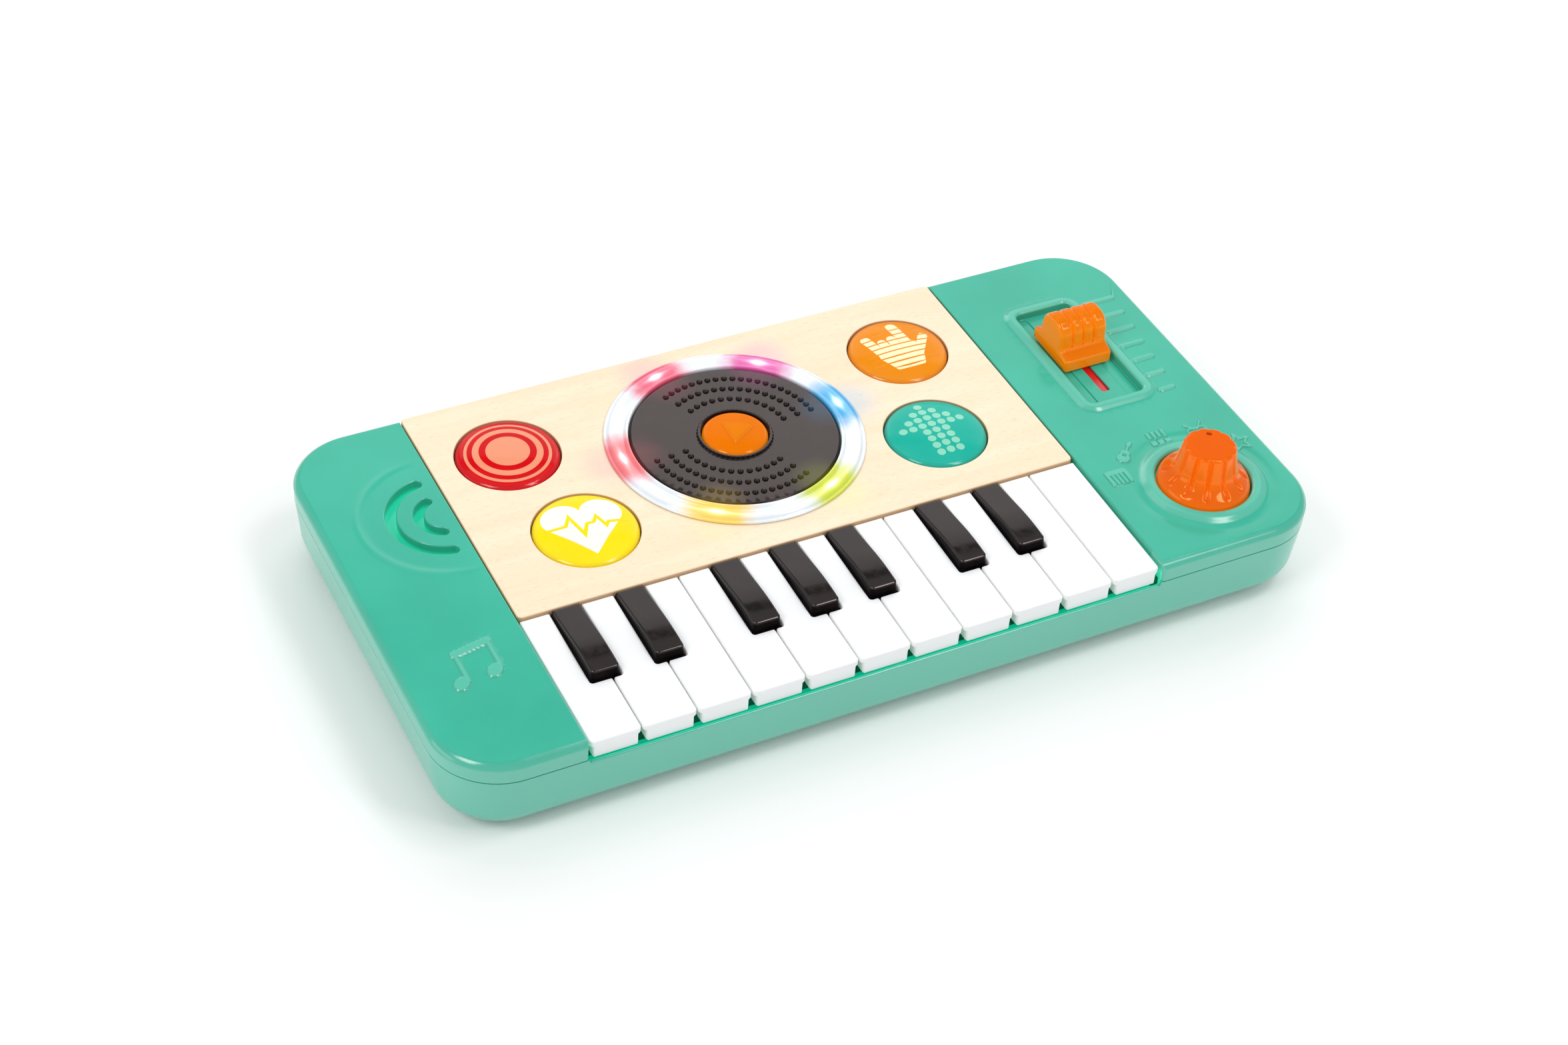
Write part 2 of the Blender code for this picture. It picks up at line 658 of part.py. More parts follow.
def record_parts():
    ring = [
        (36.3, TOP - 6.4), (36.3, TOP + 0.8), (36.9, TOP + 1.4), (41.6, TOP + 1.7), (43.3, TOP + 1.3),
        (RING_R, TOP + 0.35), (RING_BODY_R, TOP + 0.3), (RING_BODY_R, TOP - 6.4),
    ]
    lathe("light_ring", DISC_X, DISC_Y, ring, 40, "clear_plastic")
    disc = [
        (11.7, TOP + 1.6), (12.1, TOP + 2.1), (12.9, TOP + 2.1), (13.6, TOP + 1.2), (34.4, TOP + 1.2),
        (DISC_R, TOP + 0.5), (DISC_R, TOP - 1.4), (12.9, TOP - 1.4), (12.9, TOP - 8.6), (11.1, TOP - 8.6),
        (11.1, TOP - 3.4), (11.7, TOP - 2.8),
    ]
    record = lathe("record_disc", DISC_X, DISC_Y, disc, 36, "black_plastic")
    set_origin(record, DISC_X, DISC_Y, TOP)
    base = [
        (8.6, TOP - 3.4), (10.7, TOP - 3.4), (10.7, TOP - 9.0), (34.0, TOP - 9.0), (34.0, TOP - 10.4),
        (8.6, TOP - 10.4),
    ]
    lathe("record_base", DISC_X, DISC_Y, base, 20, "grey_plastic")
    play = [
        (0, TOP + 2.6), (6.0, TOP + 2.5), (10.0, TOP + 2.2), (10.9, TOP + 1.8), (PLAY_R, TOP + 1.2),
        (PLAY_R, TOP - 0.9), (8.2, TOP - 0.9), (8.2, TOP - 8.9), (0, TOP - 8.9),
    ]
    button = lathe("play_button", DISC_X, DISC_Y, play, 20, "orange_plastic")
    set_origin(button, DISC_X, DISC_Y, TOP)


def panel_board():
    """The board under the pads and the record, with six lamps under the light ring."""
    x0 = KEYBOARD_X - WOOD_HALF + 3
    x1 = KEYBOARD_X + WOOD_HALF - 3
    low = BOARD_TOP - BOARD_T
    board = box("panel_board", x0, x1, -8, 76, low, BOARD_TOP, "board")
    for i in range(LAMP_COUNT):
        a = math.radians(360 * i / LAMP_COUNT)
        x = DISC_X + LAMP_RING_R * math.cos(a)
        y = DISC_Y + LAMP_RING_R * math.sin(a)
        join(board, box("lamp", x - 1.8, x + 1.8, y - 1.8, y + 1.8, BOARD_TOP - 0.5, TOP - 7.4))
    return board


def pad_switches():
    """Rubber sheet with a dome under each pad and under the play button."""
    base = BOARD_TOP + GAP
    x0 = PADS[0][1] - 8
    x1 = PADS[2][1] + 8
    sheet = box("pad_switches", x0, x1, -2, 7, base, base + 0.8, "rubber")
    spots = [(x, y) for _, x, y in PADS] + [(DISC_X, DISC_Y)]
    for x, y in spots:
        join(
            sheet,
            box("tab", x - 5, x + 5, 2, y + 5, base, base + 0.8),
            cylinder("dome", x, y, 3.4, base + 0.4, TOP - 10.6, 12),
        )
    return sheet


# ---------------------------------------------------------------- fader and selector

def fader_outline():
    """(y, z) outline of the fader cap from its front foot over the hump to its back foot."""
    y0 = FADER_Y - FADER_L / 2
    y1 = FADER_Y + FADER_L / 2
    low = RECESS_FLOOR + 0.5
    hump_y = FADER_Y + 0.4
    hump_z = TOP + 8.4
    hump = [(hump_y + 6.4 * math.cos(a), hump_z + 6.4 * math.sin(a))
            for a in [math.radians(180 - 180 * i / 8) for i in range(9)]]
    front = [(y0, low), (y0, TOP + 2.4), (y0 + 0.8, TOP + 3.3), (hump_y - 7.4, TOP + 4.8)]
    back = [(hump_y + 7.4, TOP + 4.8), (y1 - 0.8, TOP + 3.3), (y1, TOP + 2.4), (y1, low)]
    return front + hump + back


def fader_parts():
    half = FADER_W / 2
    x0 = FADER_X - half
    x1 = FADER_X + half
    outline = fader_outline()
    cy = FADER_Y
    cz = TOP + 4
    rings = []
    for x, shrink in ((x0, 0.95), (x0 + 0.7, 1.0), (x1 - 0.7, 1.0), (x1, 0.95)):
        rings.append([(x, cy + (y - cy) * shrink, cz + (z - cz) * shrink) for y, z in outline])
    cap = loft("fader_cap", rings, "orange_plastic")
    cut(cap, box("hollow", x0 + 2, x1 - 2, cy - 6, cy + 6, 0, TOP + 9))
    join(cap, box("stem", FADER_X - 1.0, FADER_X + 1.0, cy - 3, cy + 3, TOP - 9.4, TOP + 10))
    set_origin(cap, FADER_X, cy, RECESS_FLOOR)
    strip = box("fader_strip", FADER_X - 3.2, FADER_X + 3.2, cy - 35, cy + 33,
                TOP - 5.7, TOP - 4.9, "red_plastic")
    cut(strip, box("stem_hole", FADER_X - 1.3, FADER_X + 1.3, cy - 3.3, cy + 3.3, 0, TOP))
    set_origin(strip, FADER_X, cy, TOP - 5.3)
    track = box("fader_track", FADER_X - 5, FADER_X + 5, 0, 51, TOP - 12.0, TOP - 6.2, "steel")
    return cut(track, box("groove", FADER_X - 1.5, FADER_X + 1.5, 5, 46, TOP - 10, TOP))


def selector_parts():
    profile = [
        (0, TOP + 16.0), (7.6, TOP + 16.0), (8.6, TOP + 15.4), (9.3, TOP + 12.0), (10.3, TOP + 8.0),
        (12.2, TOP + 4.4), (15.0, TOP + 1.4), (15.7, TOP - 0.4), (15.7, TOP - 2.6), (14.0, TOP - 2.6),
        (9.0, TOP + 4.0), (5.4, TOP + 4.0), (5.4, TOP - 2.6), (3.35, TOP - 2.6), (3.35, TOP + 8.0),
        (0, TOP + 8.0),
    ]
    knob = lathe("selector_knob", KNOB_X, KNOB_Y, profile, 24, "orange_plastic")
    set_origin(knob, KNOB_X, KNOB_Y, TOP)
    shaft = cylinder("selector_shaft", KNOB_X, KNOB_Y, 3.0, TOP - 13.5, TOP + 7.6, 16, "steel")
    set_origin(shaft, KNOB_X, KNOB_Y, TOP)
    body = [(3.35, TOP - 6.0), (9.5, TOP - 6.0), (9.5, TOP - 15.5), (3.35, TOP - 15.5)]
    lathe("rotary_switch", KNOB_X, KNOB_Y, body, 20, "grey_plastic")


# ---------------------------------------------------------------- speaker, power and small parts

def speaker():
    z = SPEAKER_TOP
    basket = [
        (15.8, z), (SPEAKER_R, z), (SPEAKER_R, z - 1.2), (10.5, z - 10.0), (10.5, z - 17.0),
        (3.0, z - 17.0), (3.0, z - 10.6), (9.4, z - 9.2), (15.4, z - 1.6),
    ]
    lathe("speaker_basket", SPEAKER_X, SPEAKER_Y, basket, 20, "steel")
    cone = [
        (0, z - 5.2), (3.5, z - 5.8), (5.0, z - 6.8), (13.4, z - 0.6), (14.8, z - 0.8),
        (14.8, z - 1.3), (5.0, z - 7.8), (2.6, z - 7.9), (2.6, z - 9.6), (0, z - 9.6),
    ]
    lathe("speaker_cone", SPEAKER_X, SPEAKER_Y, cone, 20, "paper_cone")


def batteries():
    for i in range(3):
        x = BATTERY_X + (i - 1) * BATTERY_PITCH
        sign = 1 if i % 2 == 0 else -1
        y0 = BATTERY_Y - BATTERY_L / 2 * sign
        y1 = BATTERY_Y + (BATTERY_L / 2 - 1.2) * sign
        cell = rod_y("battery_%d" % (i + 1), x, y0, y1, BATTERY_Z, BATTERY_R, 20, "cell_wrap")
        tip = BATTERY_Y + BATTERY_L / 2 * sign
        join(cell, rod_y("tip", x, y1 - 0.5 * sign, tip, BATTERY_Z, 2.7, 12))
    z0 = BATTERY_Z - 5
    z1 = BATTERY_Z + 5
    box("contact_front", BAY_X0 + 0.6, BAY_X1 - 0.6, BAY_Y0 + 0.4, BAY_Y0 + 1.3, z0, z1, "steel")
    box("contact_back", BAY_X0 + 0.6, BAY_X1 - 0.6, BAY_Y1 - 1.3, BAY_Y1 - 0.4, z0, z1, "steel")


def battery_door():
    z1 = CASE_BOTTOM + DOOR_T
    outline = rounded_rect(BAY_X0 - 0.5, BAY_X1 + 0.5, BAY_Y0 - 0.5, BAY_Y1 + 6.6, 0.6, 2)
    door = prism("battery_door", outline, CASE_BOTTOM, z1, "green_plastic")
    cut(door, cylinder("head_seat", BATTERY_X, DOOR_SCREW_Y, 2.2, 0, CASE_BOTTOM + 0.9, 12),
        cylinder("hole", BATTERY_X, DOOR_SCREW_Y, 1.3, 0, z1 + 1, 10))
    head = [
        (0, CASE_BOTTOM), (1.8, CASE_BOTTOM), (1.8, CASE_BOTTOM + 0.6), (0.8, CASE_BOTTOM + 0.6),
        (0.8, CASE_BOTTOM + 9.0), (0, CASE_BOTTOM + 9.0),
    ]
    lathe("door_screw", BATTERY_X, DOOR_SCREW_Y, head, 12, "steel")
    return door


def power_switch():
    x = SWITCH_X
    y = SWITCH_Y
    nub = box("power_switch", x - 1.8, x + 3.2, y - 2.0, y + 2.0, 0.6, 5.0, "black_plastic")
    plate = box("plate", x - 4.5, x + 6.5, y - 4, y + 4, CASE_BOTTOM + WALL + GAP, CASE_BOTTOM + WALL + 1.6)
    join(nub, plate)
    set_origin(nub, x, y, CASE_BOTTOM)
    box("switch_body", x - 8, x + 14, y - 5, y + 5, CASE_BOTTOM + WALL + 2.0, 10.0, "grey_plastic")


def main_board():
    board = box("main_board", -100, -20, -8, 43, 5.6, 7.2, "board")
    chip = box("chip", -70, -58, 10, 22, 6.8, 8.8)
    tank = cylinder("capacitor", -40, 30, 3.2, 6.8, 14.0, 12)
    join(board, chip, tank)
    return board


def small_parts():
    for i, (x, y) in enumerate(corner_points(SCREW_X, SCREW_Y)):
        profile = [(0, SCREW_SEAT - 2), (SCREW_HEAD_R, SCREW_SEAT - 2), (SCREW_HEAD_R, SCREW_SEAT),
                   (SCREW_SHANK_R, SCREW_SEAT), (SCREW_SHANK_R, 20.0), (0, 21.0)]
        lathe("case_screw_%d" % (i + 1), x, y, profile, 12, "steel")
    for i, (x, y) in enumerate(corner_points(FOOT_X, FOOT_Y)):
        top = CASE_BOTTOM + 0.7
        profile = [(0, 0), (FOOT_R - 0.5, 0), (FOOT_R, 0.5), (FOOT_R, top), (0, top)]
        lathe("foot_%d" % (i + 1), x, y, profile, 16, "rubber")


def build():
    clear_scene()
    lower_case()
    upper_case()
    wood_panel()
    for i in range(WHITE_COUNT):
        white_key(i)
    for i in range(len(BLACKS)):
        black_key(i)
    key_frame()
    key_rod()
    key_contacts()
    finishes = ("red_plastic", "yellow_plastic", "orange_plastic", "teal_plastic")
    for (name, x, y), finish in zip(PADS, finishes):
        pad(name, x, y, finish)
    record_parts()
    panel_board()
    pad_switches()
    fader_parts()
    selector_parts()
    speaker()
    batteries()
    battery_door()
    power_switch()
    main_board()
    small_parts()
    finish_all()


build()
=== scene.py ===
"""Looks of the toy electronic keyboard: fine case shells with soft relief, lacquered birch panel, rounded
keys, printed pads, record with its light ring, grooved fader and fluted selector knob.

Shapes are drawn in millimetres in the frame's own coordinates and become metres in Shape.make.
"""

import math

import bpy
import numpy as np
from mathutils import Matrix, Vector, geometry

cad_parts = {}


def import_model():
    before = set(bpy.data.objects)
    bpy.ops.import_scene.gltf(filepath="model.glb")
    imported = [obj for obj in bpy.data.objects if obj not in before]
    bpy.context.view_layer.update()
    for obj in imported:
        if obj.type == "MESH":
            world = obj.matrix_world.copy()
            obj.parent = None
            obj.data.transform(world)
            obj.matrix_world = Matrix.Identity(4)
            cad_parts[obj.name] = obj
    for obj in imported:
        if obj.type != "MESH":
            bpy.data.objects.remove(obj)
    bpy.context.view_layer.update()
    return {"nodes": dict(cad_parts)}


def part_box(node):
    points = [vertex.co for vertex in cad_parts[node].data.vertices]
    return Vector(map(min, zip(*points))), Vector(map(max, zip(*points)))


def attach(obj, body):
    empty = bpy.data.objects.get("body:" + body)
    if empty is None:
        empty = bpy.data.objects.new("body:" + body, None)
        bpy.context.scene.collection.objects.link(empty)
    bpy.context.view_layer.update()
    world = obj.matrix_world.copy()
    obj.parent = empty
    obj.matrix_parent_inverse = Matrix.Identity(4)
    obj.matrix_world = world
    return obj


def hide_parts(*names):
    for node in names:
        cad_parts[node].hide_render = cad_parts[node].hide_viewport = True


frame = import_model()

MM = 0.001
GAP = 0.3


# ---------------------------------------------------------------- places, read from the frame

def span(node):
    """Lowest and highest corner of a CAD node, in millimetres."""
    low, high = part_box(node)
    return np.array(low) / MM, np.array(high) / MM


def middle(node):
    """Middle of a CAD node's box, in millimetres."""
    low, high = span(node)
    return (low + high) / 2


CASE_LOW, CASE_HIGH = span("lower_case")
UPPER_HIGH = span("upper_case")[1]
WOOD_LOW, WOOD_HIGH = span("wood_panel")
FADER_LOW, FADER_HIGH = span("fader_cap")
HALF_L = UPPER_HIGH[0]
HALF_D = UPPER_HIGH[1]
TOP = WOOD_HIGH[2]
SEAM = CASE_HIGH[2] + GAP / 2
CASE_BOTTOM = CASE_LOW[2]
BED_TOP = WOOD_LOW[2] - GAP
BAY_X0 = WOOD_LOW[0] - 0.4
BAY_X1 = WOOD_HIGH[0] + 0.4
DISC_X, DISC_Y = middle("record_disc")[:2]
FADER_X, FADER_Y = middle("fader_cap")[:2]
KNOB_X, KNOB_Y = middle("selector_knob")[:2]
PAD_NODES = ("pad_red", "pad_yellow", "pad_orange", "pad_teal")
PAD_HOLE_R = 17.78
RING_HOLE_R = 42.6
PANEL_HOLES = [(*middle(node)[:2], PAD_HOLE_R) for node in PAD_NODES] + [(DISC_X, DISC_Y, RING_HOLE_R)]
WHITE_KEYS = [name for name in sorted(frame["nodes"]) if name.startswith("white_key")]
BLACK_KEYS = [name for name in sorted(frame["nodes"]) if name.startswith("black_key")]

# Case
CORNER_R = 23.0
TOP_FILLET = 2.5
BOTTOM_FILLET = 10.5
DRAFT = 1.2
WALL = 2.0
ROOF = TOP - 4.6
BED_FRONT = -13.2
RAIL_TOP = TOP - 8.6
RAIL_INNER_Y = -79.75

# Fader well
WELL_HALF_W = 11.0
WELL_Y0 = -1.2
WELL_Y1 = 51.7
WELL_R = 2.5
WELL_FLOOR = TOP - 2.0
RIM_W = 3.7
RIM_H = 1.1
FADER_SLOT_HALF_W = 1.6
FADER_SLOT_Y0 = 5.7
FADER_SLOT_Y1 = 44.8

# Red strip in the fader's slot, and how far it slides towards the player and away
STRIP_HALF_W = 3.2
STRIP_TOP = WELL_FLOOR - 0.9
STRIP_Y0, STRIP_Y1 = span("fader_strip")[0][1], span("fader_strip")[1][1]
STRIP_NEAR = 20.5
STRIP_FAR = 11.0

# Selector
KNOB_HOLE_R = 16.25
CUP_FLOOR = TOP - 3.4
SHAFT_HOLE_R = 4.2
COLLAR_R = 20.4
COLLAR_H = 1.35

# Power switch: its nub passes through the case below its plate
SWITCH_PLATE_X0, SWITCH_Y = span("power_switch")[0][0], middle("power_switch")[1]
SWITCH_NUB_X0 = SWITCH_PLATE_X0 + 2.7
SWITCH_NUB_X1 = SWITCH_NUB_X0 + 5.0
SWITCH_TRAVEL = 5.0

# Underside
SCREW_BOSS_R = 4.8
SCREW_BOSS_TOP = 12.4
SCREW_WELL_R = 3.4
SCREW_SEAT = 10.8
SCREW_BORE_R = 1.7
FOOT_SEAT_R = 6.3
DOOR_CLEAR = 0.4
SEAT_DEPTH = 1.0

# Speaker slots: (centre line radius, half width, half spread in degrees)
SLOT_X = -114.9
SLOT_Y = middle("speaker_basket")[1]
SLOTS = ((17.2, 1.8, 79.0), (8.3, 1.7, 68.0))
SLOT_FLOOR = 0.6

# Lamps under the light ring: (angle in degrees, colour)
LAMPS = (
    (3.0, (0.03, 0.40, 0.76)),
    (53.0, (0.72, 0.06, 0.36)),
    (108.0, (0.78, 0.06, 0.15)),
    (176.0, (0.85, 0.13, 0.15)),
    (236.0, (0.98, 0.66, 0.08)),
    (298.0, (0.62, 0.70, 0.0)),
)
LAMP_R = 39.6


# ---------------------------------------------------------------- outlines

def arc(cx, cy, r, a0, a1, steps):
    """Points on an arc from a0 to a1 degrees."""
    angles = [math.radians(a0 + (a1 - a0) * i / steps) for i in range(steps + 1)]
    return [(cx + r * math.cos(a), cy + r * math.sin(a)) for a in angles]


def quarter(steps):
    """Sines and cosines from 0 to 90 degrees, for rounded edges."""
    angles = [math.radians(90 * i / steps) for i in range(steps + 1)]
    return [(math.sin(a), math.cos(a)) for a in angles]


def circle(cx, cy, r, count=48):
    """Points once round a circle, counterclockwise."""
    return arc(cx, cy, r, 0, 360, count)[:-1]


def rounded_rect(x0, x1, y0, y1, r, steps=8):
    """Outline of a rectangle with corners of radius r, counterclockwise."""
    corners = ((x1 - r, y0 + r, -90), (x1 - r, y1 - r, 0), (x0 + r, y1 - r, 90), (x0 + r, y0 + r, 180))
    points = []
    for cx, cy, start in corners:
        points += arc(cx, cy, r, start, start + 90, steps)
    return points


def rounded(corners, steps=6):
    """A closed outline through (x, y, radius) corners, each rounded by an arc of that radius."""
    points = []
    for i, (x, y, r) in enumerate(corners):
        here = Vector((x, y))
        before = (Vector(corners[i - 1][:2]) - here).normalized()
        after = (Vector(corners[(i + 1) % len(corners)][:2]) - here).normalized()
        half = before.angle(after) / 2
        reach = r / math.tan(half)
        centre = here + (before + after).normalized() * (r / math.sin(half))
        start = here + before * reach - centre
        end = here + after * reach - centre
        turn = start.angle_signed(end)
        for k in range(steps + 1):
            a = -turn * k / steps
            c, s = math.cos(a), math.sin(a)
            points.append((centre.x + start.x * c - start.y * s, centre.y + start.x * s + start.y * c))
    return points


def shifted(outline, amount):
    """The outline moved inwards by amount along its own normals; it runs counterclockwise."""
    p = np.array(outline)
    along = np.roll(p, -1, 0) - np.roll(p, 1, 0)
    along /= np.linalg.norm(along, axis=1)[:, None]
    inward = np.stack([-along[:, 1], along[:, 0]], 1)
    return [tuple(q) for q in p + inward * amount]


def narrowed(outline, amount):
    """The outline moved inwards by amount at its sides only, so that its front stays in place."""
    return [(q[0], p[1]) for p, q in zip(outline, shifted(outline, amount))]


def dense(outline, step):
    """The closed outline with more points along its long edges."""
    points = []
    for (x0, y0), (x1, y1) in zip(outline, outline[1:] + outline[:1]):
        parts = max(1, int(math.hypot(x1 - x0, y1 - y0) / step))
        points += [(x0 + (x1 - x0) * k / parts, y0 + (y1 - y0) * k / parts) for k in range(parts)]
    return points


def turned_by(outline, degrees):
    """The outline turned about the origin."""
    c, s = math.cos(math.radians(degrees)), math.sin(math.radians(degrees))
    return [(x * c - y * s, x * s + y * c) for x, y in outline]


def stroke(points, width):
    """Outline of a line of that width with mitred bends and flat ends."""
    p = np.array(points, float)
    along = np.diff(p, axis=0)
    along /= np.linalg.norm(along, axis=1)[:, None]
    side = np.stack([-along[:, 1], along[:, 0]], 1)
    offsets = [side[0]]
    for a, b in zip(side, side[1:]):
        offsets.append((a + b) / (1 + a @ b))
    offsets.append(side[-1])
    offsets = np.array(offsets) * width / 2
    return [tuple(q) for q in np.vstack([p - offsets, (p + offsets)[::-1]])]


def inside(outline, x, y):
    """True where the points x, y lie inside the closed outline."""
    x = np.asarray(x)[..., None]
    y = np.asarray(y)[..., None]
    p = np.array(outline)
    q = np.roll(p, -1, 0)
    spans = (p[:, 1] > y) != (q[:, 1] > y)
    climb = np.where(q[:, 1] == p[:, 1], 1.0, q[:, 1] - p[:, 1])
    cross = p[:, 0] + (y - p[:, 1]) * (q[:, 0] - p[:, 0]) / climb
    return (np.sum(spans & (x < cross), axis=-1) % 2) == 1


# ---------------------------------------------------------------- distances, for soft relief

def rise(distance, height, soft):
    """height where distance is well below 0, falling smoothly to 0 across a band of +-soft."""
    t = np.clip((soft - distance) / (2 * soft), 0, 1)
    return height * t * t * (3 - 2 * t)


def ramp(distance, height, soft):
    """The same as rise, with an even slope."""
    return height * np.clip((soft - distance) / (2 * soft), 0, 1)


def from_capsule(x, y, x0, y0, x1, y1, r):
    """Signed distance to a line with round ends of radius r."""
    dx, dy = x1 - x0, y1 - y0
    t = np.clip(((x - x0) * dx + (y - y0) * dy) / (dx * dx + dy * dy + 1e-12), 0, 1)
    return np.hypot(x - x0 - t * dx, y - y0 - t * dy) - r


def from_rect(x, y, cx, cy, half_w, half_h, r):
    """Signed distance to a rectangle with corners of radius r."""
    qx = np.abs(x - cx) - half_w + r
    qy = np.abs(y - cy) - half_h + r
    return np.hypot(np.maximum(qx, 0), np.maximum(qy, 0)) + np.minimum(np.maximum(qx, qy), 0) - r


def from_disc(x, y, cx, cy, r):
    return np.hypot(x - cx, y - cy) - r


def from_outline(x, y, outline):
    """Signed distance to a closed outline."""
    distance = np.full(np.shape(x), 1e9)
    for (x0, y0), (x1, y1) in zip(outline, outline[1:] + outline[:1]):
        distance = np.minimum(distance, from_capsule(x, y, x0, y0, x1, y1, 0))
    return np.where(inside(outline, x, y), -distance, distance)


# ---------------------------------------------------------------- solids

class Shape:
    """Gathers the vertices and faces of one closed piece, in millimetres."""

    def __init__(self):
        self.points = []
        self.faces = []
        self.slots = []

    def ring(self, points):
        """Adds points and returns their numbers."""
        start = len(self.points)
        self.points += [tuple(p) for p in points]
        return list(range(start, len(self.points)))

    def level(self, outline, z):
        return self.ring([(x, y, z) for x, y in outline])

    def face(self, corners, slot=0):
        self.faces.append(tuple(corners))
        self.slots.append(slot)

    def bridge(self, lower, upper, slot=0):
        """Side faces between two rings; they face outwards if the rings run counterclockwise."""
        count = len(lower)
        for i in range(count):
            j = (i + 1) % count
            self.face((lower[i], lower[j], upper[j], upper[i]), slot)

    def stack(self, rings, slot=0):
        for lower, upper in zip(rings, rings[1:]):
            self.bridge(lower, upper, slot)

    def close(self, bottom, top):
        """Flat faces over the first and the last ring."""
        self.face(list(reversed(bottom)))
        self.face(top)

    def tip(self, ring, point, upward, slot=0):
        """Closes a ring with triangles to one point."""
        top = self.ring([point])[0]
        for i, a in enumerate(ring):
            b = ring[(i + 1) % len(ring)]
            self.face((a, b, top) if upward else (b, a, top), slot)

    def skin(self, ring, height, points=(), loops=(), pick=None):
        """Fills a ring with triangles at height(x, y). The triangles follow the loops, pass through
        the points, and take their material slot from pick(x, y) at their middle."""
        outline = [self.points[i][:2] for i in ring]
        coords = [Vector(p) for p in outline]
        edges = [(i, (i + 1) % len(ring)) for i in range(len(ring))]
        for loop in loops:
            start = len(coords)
            coords += [Vector(p) for p in loop]
            edges += [(start + i, start + (i + 1) % len(loop)) for i in range(len(loop))]
        x, y = np.array(points).reshape(-1, 2).T
        clear = from_outline(x, y, outline) < -0.12
        coords += [Vector(p) for p in zip(x[clear], y[clear])]
        made, _, triangles, origins = geometry.delaunay_2d_cdt(coords, edges, [], 1, 1e-5)[:4]
        flat = np.array([tuple(v) for v in made])
        z = height(flat[:, 0], flat[:, 1])
        index = {}
        for i, sources in enumerate(origins):
            rim = [s for s in sources if s < len(ring)]
            index[i] = ring[rim[0]] if rim else self.ring([(flat[i, 0], flat[i, 1], z[i])])[0]
        corners = np.array([list(t) for t in triangles])
        centres = flat[corners].mean(1)
        slots = pick(centres[:, 0], centres[:, 1]) if pick else np.zeros(len(corners), int)
        for triangle, slot in zip(triangles, slots):
            mapped = [index[i] for i in triangle]
            if len(set(mapped)) == 3:
                self.face(mapped, int(slot))

    def make(self, name, *finishes, sharp=32):
        mesh = bpy.data.meshes.new(name)
        mesh.from_pydata([tuple(np.array(p) * MM) for p in self.points], [], self.faces)
        mesh.polygons.foreach_set("material_index", self.slots)
        piece = bpy.data.objects.new(name, mesh)
        bpy.context.scene.collection.objects.link(piece)
        for finish in finishes:
            mesh.materials.append(finish)
        smooth(piece, sharp)
        return piece


def smooth(piece, angle=32):
    """Smooth shading with sharp edges where faces meet at more than angle degrees."""
    piece.data.shade_smooth()
    piece.data.set_sharp_from_angle(angle=math.radians(angle))


def level_faces(piece):
    """Keeps flat faces flat where they meet small rounded ones."""
    weights = piece.modifiers.new("weights", "WEIGHTED_NORMAL")
    weights.keep_sharp = True
    weights.weight = 100


def loft(name, loops, *finishes):
    """A solid through closed loops of (x, y, z) points."""
    shape = Shape()
    rings = [shape.ring(loop) for loop in loops]
    shape.stack(rings)
    shape.close(rings[0], rings[-1])
    return shape.make(name, *finishes)


def solid(levels, name="tool", *finishes):
    """A solid through (outline, z) levels from the lowest to the highest."""
    return loft(name, [[(x, y, z) for x, y in outline] for outline, z in levels], *finishes)


def prism(outline, z0, z1, name="tool", *finishes):
    """An upright solid with the same outline from z0 to z1."""
    return solid([(outline, z0), (outline, z1)], name, *finishes)


def block(x0, x1, y0, y1, z0, z1):
    return prism([(x0, y0), (x1, y0), (x1, y1), (x0, y1)], z0, z1)


def bar_x(x0, x1, outline):
    """A solid along X through a counterclockwise (y, z) outline."""
    return loft("tool", [[(x, y, z) for y, z in outline] for x in (x0, x1)])


def bar_y(y0, y1, outline):
    """A solid along Y through a counterclockwise (x, z) outline."""
    return loft("tool", [[(x, y, z) for x, z in outline] for y in (y1, y0)])


def turned(name, cx, cy, profile, *finishes, count=96, sharp=32, wave=None):
    """Turns (radius, z) points, from the lower end of the axis to its upper end or round a closed loop.
    wave(radius, z, angle) can change the radius."""
    shape = Shape()
    angles = [2 * math.pi * i / count for i in range(count)]
    rings = []
    for r, z in profile:
        if r > 0:
            radii = [wave(r, z, a) if wave else r for a in angles]
            rings.append(shape.ring([(cx + q * math.cos(a), cy + q * math.sin(a), z)
                                     for q, a in zip(radii, angles)]))
    shape.stack(rings)
    if profile[0][0] == 0:
        shape.tip(rings[0], (cx, cy, profile[0][1]), False)
        shape.tip(rings[-1], (cx, cy, profile[-1][1]), True)
    else:
        shape.bridge(rings[-1], rings[0])
    return shape.make(name, *finishes, sharp=sharp)


def combine(base, tools, operation):
    """Applies a boolean of each tool to base in turn and deletes the tool."""
    for tool in tools:
        step = base.modifiers.new("step", "BOOLEAN")
        step.operation = operation
        step.solver = "MANIFOLD"
        step.object = tool
        graph = bpy.context.evaluated_depsgraph_get()
        result = bpy.data.meshes.new_from_object(base.evaluated_get(graph))
        base.modifiers.remove(step)
        old = base.data
        base.data = result
        result.name = base.name
        bpy.data.meshes.remove(old)
        bpy.data.objects.remove(tool, do_unlink=True)
    return base


def cut(base, *tools):
    return combine(base, tools, "DIFFERENCE")


def join(base, *tools):
    return combine(base, tools, "UNION")


def flared(outline, z0, surface, r, steps=5):
    """A cutter with this outline from z0 up, whose hole gets a rounded edge of radius r at surface."""
    levels = [(outline, z0)]
    for i in range(steps + 1):
        a = math.radians(84 * i / steps)
        levels.append((shifted(outline, -r * (1 - math.cos(a))), surface - r + r * math.sin(a)))
    widest = shifted(outline, -r * 0.96)
    levels.append((widest, surface + 0.05))
    levels.append((widest, surface + 4.0))
    return solid(levels)


